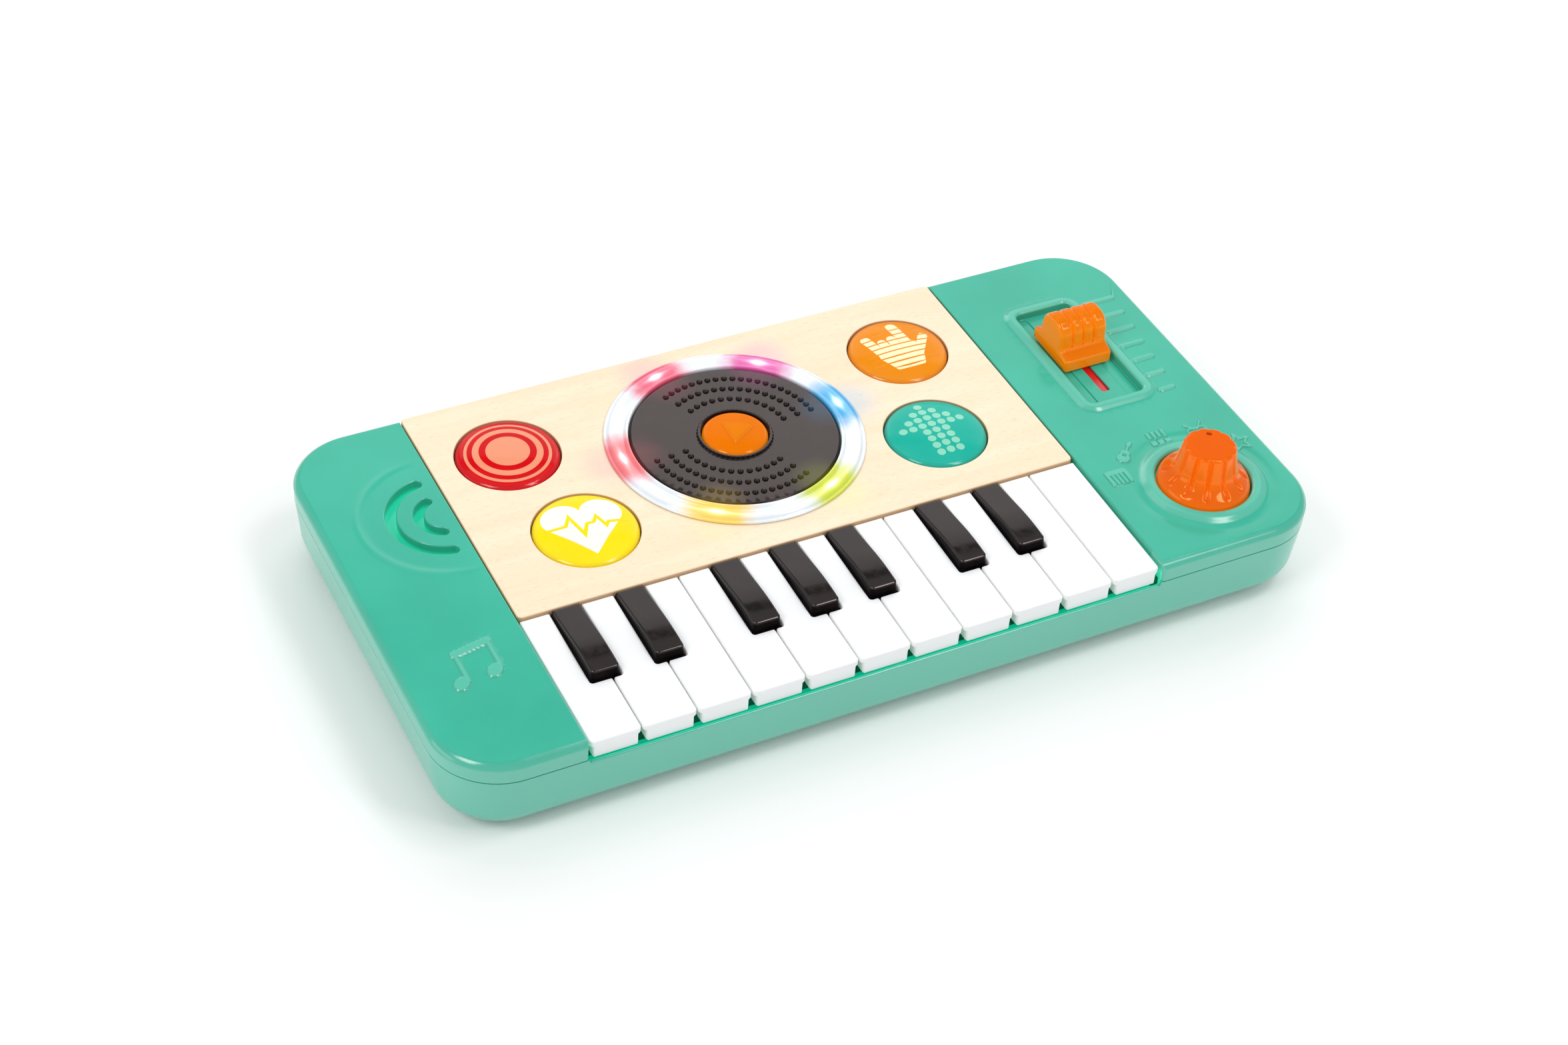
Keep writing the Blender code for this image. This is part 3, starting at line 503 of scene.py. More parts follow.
def fine_grid(x0, x1, y0, y1, step):
    """Points of a square grid that is the same wherever it starts, so that grids fit together."""
    x, y = np.meshgrid(np.arange(math.ceil(x0 / step), x1 / step) * step,
                       np.arange(math.ceil(y0 / step), y1 / step) * step)
    return x.ravel(), y.ravel()


def busy_points(x0, x1, y0, y1, step, height, quiet=0.0008):
    """Grid points where the height changes, so that a skin is fine there and coarse elsewhere."""
    x, y = fine_grid(x0, x1, y0, y1, step)
    here = height(x, y)
    change = np.zeros_like(here)
    for dx, dy in ((step, 0), (-step, 0), (0, step), (0, -step)):
        change = np.maximum(change, np.abs(height(x + dx, y + dy) - here))
    keep = change > quiet
    return list(zip(x[keep], y[keep]))


# ---------------------------------------------------------------- materials

class Finish:
    """A Principled material whose nodes are added one by one."""

    def __init__(self, name, colour, roughness, **sockets):
        self.material = bpy.data.materials.new(name)
        self.material.use_nodes = True
        self.tree = self.material.node_tree
        self.shader = self.tree.nodes["Principled BSDF"]
        self.shader.inputs["Base Color"].default_value = (*colour, 1.0)
        self.shader.inputs["Roughness"].default_value = roughness
        for socket, value in sockets.items():
            self.shader.inputs[socket.replace("_", " ")].default_value = value
        self.place = self.add("ShaderNodeTexCoord").outputs["Object"]

    def add(self, kind, **settings):
        node = self.tree.nodes.new(kind)
        for key, value in settings.items():
            setattr(node, key, value)
        return node

    def link(self, output, socket):
        self.tree.links.new(output, socket)

    def give(self, socket, value):
        """Links an output to the socket, or sets the socket to a plain value."""
        if isinstance(value, bpy.types.NodeSocket):
            self.link(value, socket)
        elif value is not None:
            socket.default_value = value

    def feed(self, node, *values):
        """Fills the node's first sockets in order; None leaves one as it is."""
        for socket, value in zip(node.inputs, values):
            self.give(socket, value)
        return node

    def math(self, operation, *values):
        return self.feed(self.add("ShaderNodeMath", operation=operation), *values).outputs[0]

    def noise(self, size, detail=2.0, stretch=(1, 1, 1), rough=0.5):
        """Noise between 0 and 1 with features about size millimetres across."""
        place = self.place
        if stretch != (1, 1, 1):
            scaled = self.add("ShaderNodeVectorMath", operation="MULTIPLY")
            self.feed(scaled, place, tuple(1 / s for s in stretch))
            place = scaled.outputs[0]
        node = self.add("ShaderNodeTexNoise")
        self.link(place, node.inputs["Vector"])
        node.inputs["Scale"].default_value = 1 / (size * MM)
        node.inputs["Detail"].default_value = detail
        node.inputs["Roughness"].default_value = rough
        return node.outputs["Fac"]

    def between(self, value, low, high, to_low=0.0, to_high=1.0, curve="LINEAR"):
        """Maps low..high to to_low..to_high and holds it outside."""
        node = self.add("ShaderNodeMapRange", interpolation_type=curve)
        return self.feed(node, value, low, high, to_low, to_high).outputs[0]

    def mix(self, factor, first, second):
        """Mixes two colours; sockets 6 and 7 and output 2 are the node's colour ones."""
        node = self.add("ShaderNodeMix", data_type="RGBA")
        self.give(node.inputs[0], factor)
        for socket, value in ((6, first), (7, second)):
            self.give(node.inputs[socket], (*value, 1.0) if isinstance(value, tuple) else value)
        return node.outputs[2]

    def axes(self):
        split = self.add("ShaderNodeSeparateXYZ")
        self.link(self.place, split.inputs[0])
        return split.outputs

    def normal(self):
        split = self.add("ShaderNodeSeparateXYZ")
        self.link(self.add("ShaderNodeNewGeometry").outputs["Normal"], split.inputs[0])
        return split

    def normal_z(self):
        return self.normal().outputs["Z"]

    def glow(self, colour, strength):
        """The light the surface gives off."""
        self.give(self.shader.inputs["Emission Color"], colour)
        self.give(self.shader.inputs["Emission Strength"], strength)

    def colour(self, output):
        self.link(output, self.shader.inputs["Base Color"])

    def roughness(self, output):
        self.link(output, self.shader.inputs["Roughness"])

    def shine(self, low, high, to_low, to_high, upright=None):
        """Makes the strength of the reflection follow how level the surface is. Upright faces can have
        a strength of their own, so that only the rounded edges shine."""
        strength = self.between(self.normal_z(), low, high, to_low, to_high)
        if upright is not None:
            rising = self.between(self.normal_z(), 0.1, 0.4, upright, max(to_low, to_high))
            strength = self.math("MINIMUM", strength, rising)
        self.link(strength, self.shader.inputs["Specular IOR Level"])

    def bump(self, height, depth):
        """Fine relief of about depth millimetres."""
        node = self.add("ShaderNodeBump")
        node.inputs["Distance"].default_value = depth * MM
        self.link(height, node.inputs["Height"])
        self.link(node.outputs[0], self.shader.inputs["Normal"])


def tint(colour, amount):
    """The colour made lighter or darker by a share of itself."""
    return tuple(min(1.0, c * (1 + amount)) for c in colour)


def moulded(name, colour, roughness, vary=0.05, grain=0.35, depth=0.004, **sockets):
    """Injection moulded plastic: faint flow clouds, uneven gloss, and a fine skin from the mould."""
    finish = Finish(name, colour, roughness, **sockets)
    clouds = finish.noise(28.0, 3.0)
    specks = finish.noise(0.9, 2.0)
    blend = finish.math("MULTIPLY_ADD", specks, 0.25, finish.math("MULTIPLY", clouds, 0.75))
    finish.colour(finish.mix(finish.between(blend, 0.3, 0.7), tint(colour, -vary), tint(colour, vary)))
    gloss = finish.noise(9.0, 4.0, rough=0.6)
    finish.roughness(finish.between(gloss, 0.3, 0.7, roughness * 0.85, roughness * 1.15))
    finish.bump(finish.noise(grain, 2.0), depth)
    return finish


# Painted light: upright faces in this band along the outside are painted paler.
LIT_WALL_BAND = 8.0   # width of the band along the outside of the case whose upright faces are paler


def green_plastic(name):
    """Satin green, a little milky, with painted light: the upright faces near the outside and the raised
    marks are painted paler, and the hollows get a painted glow.
    """
    base = (0.042, 0.445, 0.315)
    pale = (0.13, 0.55, 0.42)
    finish = Finish(name, base, 0.25, Specular_Tint=(0.9, 0.8, 0.8, 1.0),
                    Subsurface_Weight=0.12, Subsurface_Scale=0.002, Subsurface_Radius=(0.3, 1.0, 0.8))
    clouds = finish.noise(40.0, 3.0)
    body = finish.mix(finish.between(clouds, 0.3, 0.7), tint(base, -0.07), tint(base, 0.06))
    x, y, z = finish.axes()
    outside = [finish.math("GREATER_THAN", finish.math("ABSOLUTE", value), (half - LIT_WALL_BAND) * MM)
               for value, half in ((x, HALF_L), (y, HALF_D))]
    # Painted light: upright faces near the outside and the raised marks are mixed towards a paler green.
    upright = finish.between(finish.math("ABSOLUTE", finish.normal_z()), 0.95, 0.1, 0.0, 0.85)
    upright = finish.math("MULTIPLY", upright, finish.math("MAXIMUM", *outside))
    raised = finish.between(z, (TOP + 0.1) * MM, (TOP + 0.45) * MM, 0.0, 0.6)
    finish.colour(finish.mix(finish.math("MAXIMUM", upright, raised), body, pale))
    finish.shine(0.86, 0.985, 1.0, 0.22)
    painted_inner_glow(finish)
    gloss = finish.noise(12.0, 5.0, rough=0.65)
    finish.roughness(finish.between(gloss, 0.3, 0.7, 0.13, 0.2))
    fine = finish.noise(0.5, 1.0)
    waves = finish.noise(6.0, 1.0)
    finish.bump(finish.math("MULTIPLY_ADD", waves, 5.0, fine), 0.002)
    return finish.material


def painted_inner_glow(finish):
    """Painted glow on the faces in the hollows inside the case, in place of light through the thin walls, so
    that the hollows are not dark.
    """
    x, y, z = finish.axes()
    share = 1.0
    for value, reach in ((x, HALF_L - CORNER_R + 2.5), (y, HALF_D - 0.95)):
        deep = finish.math("LESS_THAN", finish.math("ABSOLUTE", value), reach * MM)
        share = finish.math("MULTIPLY", deep, share)
    below = finish.between(z, (TOP - 2.4) * MM, (TOP - 4.0) * MM)
    above = finish.between(z, (RAIL_TOP - 5.4) * MM, (RAIL_TOP - 4.4) * MM)
    for limit in (below, above):
        share = finish.math("MULTIPLY", limit, share)
    finish.glow((0.0, 0.30, 0.17, 1.0), share)


def plywood():
    """Lacquered birch: short darker flecks and silky bands along X on the faces, plies on the edges, and
    painted coloured light from the lamps round the ring.
    """
    face = (0.95, 0.755, 0.54)
    finish = Finish("plywood", face, 0.42, Specular_IOR_Level=0.3, Coat_Weight=0.1, Coat_Roughness=0.3)
    bands = finish.noise(7.0, 4.0, stretch=(9, 1, 1), rough=0.6)
    veil = finish.mix(finish.between(bands, 0.35, 0.68), tint(face, -0.03), (0.97, 0.81, 0.61))
    clouds = finish.noise(30.0, 3.0, stretch=(1.6, 1, 1))
    warm = finish.mix(finish.between(clouds, 0.4, 0.7, 0.0, 0.35), veil, (0.93, 0.72, 0.49))
    flecks = finish.noise(0.55, 2.0, stretch=(5.5, 1, 1), rough=0.55)
    fleck_share = finish.between(flecks, 0.60, 0.72, 0.0, 0.4)
    grain = finish.mix(fleck_share, warm, (0.66, 0.42, 0.22))
    pores = finish.noise(0.16, 2.0, stretch=(26, 1, 1))
    grain = finish.mix(finish.between(pores, 0.52, 0.7, 0.0, 0.22), grain, (0.74, 0.50, 0.29))
    # Painted coloured lamp light on the wood round the ring.
    lit = painted_lamp_light(finish, grain, 44.5, 15.0, 0.45, 0.4)
    edge = edge_plies(finish)
    finish.colour(finish.mix(finish.between(finish.normal_z(), 0.55, 0.9), edge, lit))
    finish.roughness(finish.between(bands, 0.3, 0.7, 0.36, 0.5))
    lines = finish.math("ADD", finish.math("MULTIPLY", pores, 0.6), finish.math("MULTIPLY", flecks, 0.4))
    finish.bump(lines, 0.03)
    return finish.material


def edge_plies(finish):
    """Tan edge with thin darker glue lines between the plies."""
    _, _, z = finish.axes()
    wobble = finish.math("MULTIPLY", finish.noise(20.0, 2.0), 0.15 * MM)
    depth = finish.math("DIVIDE", finish.math("ADD", z, wobble), 1.0 * MM)
    ply = finish.math("FRACT", depth)
    glue = finish.between(finish.math("ABSOLUTE", finish.math("SUBTRACT", ply, 0.5)), 0.42, 0.5, 0.0, 0.55)
    alternate = finish.math("PINGPONG", depth, 1.0)
    fibres = finish.noise(0.3, 3.0, stretch=(6, 6, 1))
    shade = finish.math("MULTIPLY_ADD", fibres, 0.5, finish.math("MULTIPLY", alternate, 0.5))
    wood = finish.mix(shade, (0.60, 0.38, 0.21), (0.76, 0.54, 0.33))
    return finish.mix(glue, wood, (0.45, 0.25, 0.12))


def white_plastic():
    """White of the keys, with a painted warm glow on the faces that look along X."""
    finish = moulded("white_plastic", (0.90, 0.915, 0.93), 0.2, vary=0.012, grain=0.5, depth=0.003,
                     Coat_Weight=0.1, Coat_Roughness=0.06,
                     Subsurface_Weight=0.15, Subsurface_Scale=0.0015, Subsurface_Radius=(1.0, 1.0, 1.0))
    # Painted warm glow on the faces that look along X.
    painted_side_glow = finish.between(finish.math("ABSOLUTE", finish.normal().outputs["X"]), 0.6, 0.9, 0.0, 0.06)
    finish.glow((1.0, 0.92, 0.76, 1.0), painted_side_glow)
    return finish.material


def black_plastic(name, base=(0.0035, 0.0026, 0.0028), shine=(0.9, 0.25), haze=(0.09, 0.22)):
    """Glossy black with finger smudges that dull the shine in soft patches, and hairline scratches.
    shine: reflection of rounded edges and level faces; haze: roughness of clean and smudged spots."""
    finish = Finish(name, base, haze[0], Specular_Tint=(1.0, 0.84, 0.82, 1.0))
    finish.shine(0.88, 0.97, *shine, 0.03)
    smudges = finish.noise(5.0, 4.0, rough=0.6)
    dull = finish.between(smudges, 0.45, 0.75)
    finish.colour(finish.mix(dull, tint(base, -0.2), (base[0] + 0.007, base[1] + 0.004, base[2] + 0.004)))
    scratches = finish.between(finish.noise(0.12, 1.0, stretch=(1, 40, 1)), 0.66, 0.74, 0.0, 0.1)
    finish.roughness(finish.math("ADD", finish.between(dull, 0.0, 1.0, *haze), scratches))
    finish.bump(finish.noise(3.0, 2.0), 0.01)
    return finish


def print_colour(name, colour):
    """Printed ink under the clear gloss of a pad: screen printed, with a faintly uneven film."""
    finish = moulded(name, colour, 0.12, vary=0.03, grain=0.6, depth=0.002)
    finish.shine(0.85, 0.99, 0.5, 0.15)
    return finish.material


def pad_colour(name, colour):
    """Glossy, slightly translucent plastic whose rounded edge shines more than its top."""
    finish = moulded(name, colour, 0.12, vary=0.06, grain=0.6, depth=0.002,
                     Subsurface_Weight=0.08, Subsurface_Scale=0.001)
    finish.shine(0.85, 0.99, 0.5, 0.06)
    return finish.material


def orange_plastic(name, green):
    """Glossy orange whose upright faces get a painted glow, as if lit from the front. green: how much green
    light it returns, less for a redder orange.
    """
    finish = moulded(name, (0.79, green, 0.0004), 0.11, vary=0.05, grain=0.4, depth=0.002,
                     Specular_Tint=(1.0, 0.6, 0.25, 1.0),
                     Subsurface_Weight=0.12, Subsurface_Scale=0.0015, Subsurface_Radius=(1.0, 0.35, 0.05))
    finish.shine(0.8, 0.99, 0.9, 0.04)
    # Painted glow on the upright faces.
    painted_side_glow = finish.between(finish.normal_z(), 0.3, 0.95, 0.34, 0.0)
    finish.glow((0.85, green * 1.5, 0.0, 1.0), painted_side_glow)
    return finish.material


def painted_lamp_light(finish, surface, r, reach, share, paler=0.0):
    """Painted lamp light: the surface colour tinted towards each lamp's colour within reach millimetres of
    the point at distance r from the middle of the ring. It stays where the lamps are when the piece turns."""
    position = finish.add("ShaderNodeNewGeometry").outputs["Position"]
    for degrees, colour in LAMPS:
        a = math.radians(degrees)
        lamp = ((DISC_X + r * math.cos(a)) * MM, (DISC_Y + r * math.sin(a)) * MM, TOP * MM)
        away = finish.feed(finish.add("ShaderNodeVectorMath", operation="DISTANCE"), position, lamp)
        near = finish.between(away.outputs["Value"], reach * MM, 0.001, 0.0, share, "SMOOTHERSTEP")
        surface = finish.mix(near, surface, tuple(c + (1 - c) * paler for c in colour))
    return surface


def record_black():
    """The black of the record, with a faint painted glow in the colours of the nearest lamps."""
    finish = black_plastic("record_black", (0.012, 0.0075, 0.007), (0.22, 0.42), (0.05, 0.12))
    spill = painted_lamp_light(finish, (0.0, 0.0, 0.0), 34.5, 13.0, 1.0)
    finish.glow(spill, 0.10)
    return finish.material


def soft_spot(finish, along, across, length, width):
    """1 in the middle of an ellipse with these half axes, falling softly towards 0 outside it."""
    parts = [finish.math("POWER", finish.math("DIVIDE", value, half), 2.0)
             for value, half in ((along, length), (across, width))]
    return finish.math("EXPONENT", finish.math("MULTIPLY", finish.math("ADD", *parts), -1.0))


def light_plastic():
    """Milky clear ring that carries the light of the six lamps: a coloured stretch round each lamp
    with soft ends and a bright white spot over the lamp itself."""
    milk = (0.80, 0.84, 0.89)
    finish = Finish("clear_plastic", milk, 0.14, Coat_Weight=0.3, Coat_Roughness=0.03,
                    Subsurface_Weight=0.2, Subsurface_Scale=0.002)
    x, y, _ = finish.axes()
    dx = finish.math("DIVIDE", finish.math("SUBTRACT", x, DISC_X * MM), MM)
    dy = finish.math("DIVIDE", finish.math("SUBTRACT", y, DISC_Y * MM), MM)
    swirl = finish.math("MULTIPLY", finish.math("SUBTRACT", finish.noise(5.0, 2.0), 0.5), 5.0)
    surface = milk
    glow = None
    for degrees, colour in LAMPS:
        c, s = math.cos(math.radians(degrees)), math.sin(math.radians(degrees))
        along = finish.math("ADD", finish.math("MULTIPLY", dx, -s), finish.math("MULTIPLY", dy, c))
        out = finish.math("ADD", finish.math("MULTIPLY", dx, c), finish.math("MULTIPLY", dy, s))
        reach = finish.math("ABSOLUTE", finish.math("ADD", along, swirl))
        facing = finish.math("GREATER_THAN", out, 0.0)
        stretch = finish.math("MULTIPLY", facing, finish.between(reach, 6.0, 15.0, 0.92, 0.0, "SMOOTHSTEP"))
        surface = finish.mix(stretch, surface, colour)
        away = finish.math("SUBTRACT", out, LAMP_R)
        spot = soft_spot(finish, along, away, 2.6, 1.6)
        beam = soft_spot(finish, along, away, 7.5, 0.8)
        star = finish.math("MULTIPLY_ADD", beam, 0.6, spot)
        star = finish.math("MULTIPLY", star, facing)
        glow = star if glow is None else finish.math("ADD", glow, star)
    finish.colour(surface)
    shine = finish.mix(finish.math("MINIMUM", glow, 1.0), surface, (1.0, 1.0, 1.0))
    finish.glow(shine, finish.between(glow, 0.0, 1.0, 0.04, 0.9))
    return finish.material


def brushed_steel():
    finish = Finish("steel", (0.56, 0.56, 0.58), 0.3, Metallic=1.0)
    lines = finish.noise(0.12, 2.0, stretch=(14, 1, 1))
    finish.roughness(finish.between(lines, 0.3, 0.7, 0.22, 0.4))
    finish.bump(lines, 0.006)
    return finish.material


def circuit_board():
    """Green solder mask with faint lighter tracks."""
    finish = Finish("board", (0.02, 0.17, 0.06), 0.4)
    tracks = finish.add("ShaderNodeTexBrick", offset=0.35)
    finish.link(finish.place, tracks.inputs["Vector"])
    tracks.inputs["Scale"].default_value = 180.0
    tracks.inputs["Mortar Size"].default_value = 0.06
    finish.colour(finish.mix(finish.math("MULTIPLY", tracks.outputs["Fac"], 0.5),
                             (0.015, 0.15, 0.05), (0.06, 0.32, 0.13)))
    return finish.material


def paper_cone():
    finish = Finish("paper_cone", (0.03, 0.03, 0.03), 0.9)
    fibres = finish.noise(0.5, 4.0, stretch=(3, 1, 1))
    finish.colour(finish.mix(fibres, (0.015, 0.015, 0.015), (0.06, 0.058, 0.055)))
    finish.bump(fibres, 0.05)
    return finish.material


def cell_wrap():
    """Generic printed sleeve: dark blue with a lighter band at one end."""
    finish = Finish("cell_wrap", (0.03, 0.05, 0.2), 0.28)
    _, y, _ = finish.axes()
    low, high = span("battery_2")
    edge = low[1] + 0.3 * (high[1] - low[1])
    band = finish.between(y, edge * MM, (edge + 0.3) * MM)
    finish.colour(finish.mix(band, (0.55, 0.42, 0.16), (0.025, 0.04, 0.16)))
    finish.bump(finish.noise(4.0, 2.0), 0.03)
    return finish.material


GREEN = green_plastic("green_plastic")
WOOD = plywood()
WHITE = white_plastic()
BLACK = black_plastic("black_plastic").material
DISC_BLACK = record_black()
ORANGE = orange_plastic("orange_plastic", 0.175)
# A lighter orange for the play mark: painted light on the raised mark.
MARK_PAINTED_LIGHT = orange_plastic("mark_painted_light", 0.205)
KNOB_ORANGE = orange_plastic("knob_orange", 0.11)
LIGHT = light_plastic()
STEEL = brushed_steel()
BOARD = circuit_board()
CONE = paper_cone()
CELL = cell_wrap()
# A darker orange for the knob's dimple: painted shade in the hollow.
DIMPLE_PAINTED_SHADE = moulded("dimple_painted_shade", (0.42, 0.05, 0.001), 0.4).material
GREY = moulded("grey_plastic", (0.24, 0.25, 0.26), 0.45, vary=0.1, depth=0.01).material
RUBBER = moulded("rubber", (0.085, 0.085, 0.09), 0.75, vary=0.15, grain=0.25, depth=0.02).material
RED_STRIP = moulded("red_strip", (0.62, 0.004, 0.012), 0.25, vary=0.06, depth=0.004).material


def place(piece, body, slot, *nodes):
    """Puts a finished piece on its body, in the place of CAD nodes."""
    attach(piece, body)
    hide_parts(*nodes)
    return piece


# ---------------------------------------------------------------- relief on the two ends of the case

def keys_icon(x, y):
    body = from_rect(x, y, 0, 0, 4.0, 3.6, 0.9)
    slits = np.minimum.reduce([from_rect(x, y, k, -1.1, 0.28, 2.5, 0.1) for k in (-2.4, -0.8, 0.8, 2.4)])
    return np.maximum(body, -slits)


def guitar_icon(x, y):
    body = np.minimum(from_disc(x, y, -1.9, -1.9, 2.3), from_disc(x, y, -0.2, -0.2, 1.7))
    neck = from_capsule(x, y, 0.4, 0.4, 3.2, 3.2, 0.42)
    head = from_capsule(x, y, 3.2, 3.2, 3.9, 3.9, 0.85)
    hole = from_disc(x, y, -0.9, -0.9, 0.75)
    return np.maximum(np.minimum.reduce([body, neck, head]), -hole)


def mallet_icon(x, y):
    """Three square pads with four bars of different length above them."""
    pads = [from_rect(x, y, k, -2.7, 1.1, 1.1, 0.3) for k in (-2.7, 0.0, 2.7)]
    bars = [from_rect(x, y, -2.8 + 1.9 * k, 1.0, 0.55, 1.5 + 0.5 * (k % 2), 0.25) for k in range(4)]
    return np.minimum.reduce(pads + bars)


def drum_icon(x, y):
    shell = np.abs(from_rect(x, y, 0, -1.0, 3.4, 2.2, 0.9)) - 0.35
    sticks = [from_capsule(x, y, s * 0.6, 0.6, s * 3.2, 3.6, 0.35) for s in (-1, 1)]
    hoop = from_capsule(x, y, -2.8, -0.6, 2.8, -0.6, 0.3)
    return np.minimum.reduce([shell, hoop] + sticks)


def star_icon(x, y):
    tips = []
    for k in range(10):
        r = 4.2 if k % 2 == 0 else 1.9
        a = math.radians(90 + 36 * k)
        tips.append((r * math.cos(a), r * math.sin(a)))
    return np.abs(from_outline(x, y, tips)) - 0.4


def notes_mark(x, y):
    """Two beamed notes, raised as one solid shape."""
    heads = [from_disc(x, (y - x * 0.25), cx, -6.0 - cx * 0.1, 2.7) for cx in (-6.2, 5.2)]
    stems = [from_capsule(x, y, -3.9, -6.6, -3.9, 6.0, 0.7), from_capsule(x, y, 7.5, -4.2, 7.5, 8.2, 0.7)]
    beam = from_capsule(x, y, -3.9, 5.6, 7.5, 7.8, 1.5)
    return np.minimum.reduce(heads + stems + [beam])


ICON_H = 0.5
# (bearing from the knob, distance, icon)
ICONS = ((154.0, 28.3, keys_icon), (127.5, 27.9, guitar_icon), (95.0, 25.6, mallet_icon),
         (62.0, 26.4, drum_icon), (29.0, 25.6, star_icon))
MARK_X = -131.6
MARK_Y = -36.5

RIDGE_R = 27.7   # soft ridge round the speaker slots

TICK_X = FADER_X + 15.4
TICK_COUNT = 7
TICK_PITCH = 8.63
TICK_Y = WELL_Y0 - 1.9


def icon_centre(degrees, r):
    a = math.radians(degrees)
    return KNOB_X + r * math.cos(a), KNOB_Y + r * math.sin(a)


def from_well(x, y):
    """Signed distance to the edge of the fader well."""
    half_h = (WELL_Y1 - WELL_Y0) / 2
    return from_rect(x, y, FADER_X, (WELL_Y0 + WELL_Y1) / 2, WELL_HALF_W, half_h, WELL_R)


def dip(distance):
    """A shallow soft groove where distance is 0."""
    return 0.2 * np.exp(-(distance / 1.6) ** 2)


def broad_relief(x, y):
    """Rim round the fader well, collar round the selector, and the soft ridge round the slots."""
    well = from_well(x, y)
    knob = from_disc(x, y, KNOB_X, KNOB_Y, 0)
    z = ramp(well - RIM_W, RIM_H, 1.0) - dip(well - 6.9)
    z = np.maximum(z, rise(knob - COLLAR_R, COLLAR_H, 1.7)) - dip(knob - 24.0)
    ridge = np.abs(from_disc(x, y, SLOT_X, SLOT_Y, RIDGE_R))
    bearing = np.abs(np.degrees(np.arctan2(y - SLOT_Y, SLOT_X - x)))
    fade = rise(bearing - 78, 1.0, 20)
    return z + rise(ridge - 0.8, 0.3, 1.2) * fade * (x < SLOT_X + 4)


def fine_relief(x, y):
    """Ridges beside the fader, the icons round the selector, and the mark on the left end."""
    z = np.zeros(np.shape(x))
    for k in range(TICK_COUNT):
        ty = TICK_Y + TICK_PITCH * k
        end = TICK_X + 5.5 + 1.17 * k
        z = np.maximum(z, rise(from_capsule(x, y, TICK_X + 0.9, ty, end, ty, 1.05), 0.6, 0.32))
    for degrees, r, icon in ICONS:
        cx, cy = icon_centre(degrees, r)
        z = np.maximum(z, rise(icon(x - cx, y - cy) - 0.06, ICON_H, 0.2))
    return np.maximum(z, rise(notes_mark(x - MARK_X, y - MARK_Y), 0.55, 0.28))


def relief(x, y):
    z = broad_relief(x, y) + fine_relief(x, y)
    return np.where(np.abs(z) < 0.004, 0.0, z)


def relief_points():
    """Where the skin of the two ends needs to be fine."""
    points = busy_points(-146, BAY_X0, 0, 62, 0.8, broad_relief)
    points += busy_points(98, 141, -10, 62, 0.6, broad_relief)
    points += busy_points(95, 151, -79, -22, 0.6, broad_relief)
    points += busy_points(TICK_X - 1, TICK_X + 13, TICK_Y - 2, TICK_Y + 54, 0.3, fine_relief, 0.01)
    points += busy_points(MARK_X - 11, MARK_X + 11, MARK_Y - 12, MARK_Y + 12, 0.3, fine_relief, 0.01)
    for degrees, r, _ in ICONS:
        cx, cy = icon_centre(degrees, r)
        points += busy_points(cx - 5, cx + 5, cy - 5, cy + 5, 0.2, fine_relief, 0.01)
    for x0, x1 in ((-150, BAY_X0 + 3), (BAY_X1 - 3, 150)):
        x, y = fine_grid(x0, x1, -76, 76, 4.2)
        points += list(zip(x, y))
    return points


# ---------------------------------------------------------------- case

def case_outline(inset, steps=20):
    return rounded_rect(-HALF_L + inset, HALF_L - inset, -HALF_D + inset, HALF_D - inset,
                        CORNER_R - inset, steps)


def fillet(inset, edge, r, steps, upward, fullness=1.0):
    """(inset, z) pairs round a quarter fillet that starts on a wall and ends on the flat at edge.
    A fullness above 1 brings it closer to a chamfer."""
    pairs = []
    for s, c in quarter(steps):
        drop = r - r * s ** fullness
        pairs.append((inset + r * (1 - c ** fullness), edge - drop if upward else edge + drop))
    return pairs


def bay_outline(y1):
    """Space for the keys and the panel between the two ends, which have rounded corners at the front."""
    r = 1.6
    front = -HALF_D
    right = arc(BAY_X1 + r, front + r, r, 270, 180, 6)
    left = arc(BAY_X0 - r, front + r, r, 0, -90, 6)
    return [(BAY_X0 - r, front - 2), (BAY_X1 + r, front - 2)] + right + [(BAY_X1, y1), (BAY_X0, y1)] + left


def end_outline(inner_x, side, steps=10):
    """The hollow of one end of the case: round at its outer corners, straight at inner_x."""
    r = CORNER_R - WALL
    x = side * (HALF_L - WALL - r)
    y = HALF_D - WALL - r
    if side > 0:
        outer = arc(x, -y, r, -90, 0, steps) + arc(x, y, r, 0, 90, steps)
    else:
        outer = arc(x, y, r, 90, 180, steps) + arc(x, -y, r, 180, 270, steps)
    return outer + [(inner_x, side * (HALF_D - WALL)), (inner_x, -side * (HALF_D - WALL))]


def slot_outline(radius, half_width, spread):
    """A curved slot open to the right, with round ends."""
    outer = arc(SLOT_X, SLOT_Y, radius + half_width, 180 - spread, 180 + spread, 40)
    inner = arc(SLOT_X, SLOT_Y, radius - half_width, 180 + spread, 180 - spread, 40)
    ends = []
    for bearing, turn in ((180 + spread, 1), (180 - spread, -1)):
        a = math.radians(bearing)
        cx, cy = SLOT_X + radius * math.cos(a), SLOT_Y + radius * math.sin(a)
        start = bearing if turn > 0 else bearing + 180
        ends.append(arc(cx, cy, half_width, start, start + 180, 12)[1:-1])
    return outer + ends[0] + inner + ends[1]


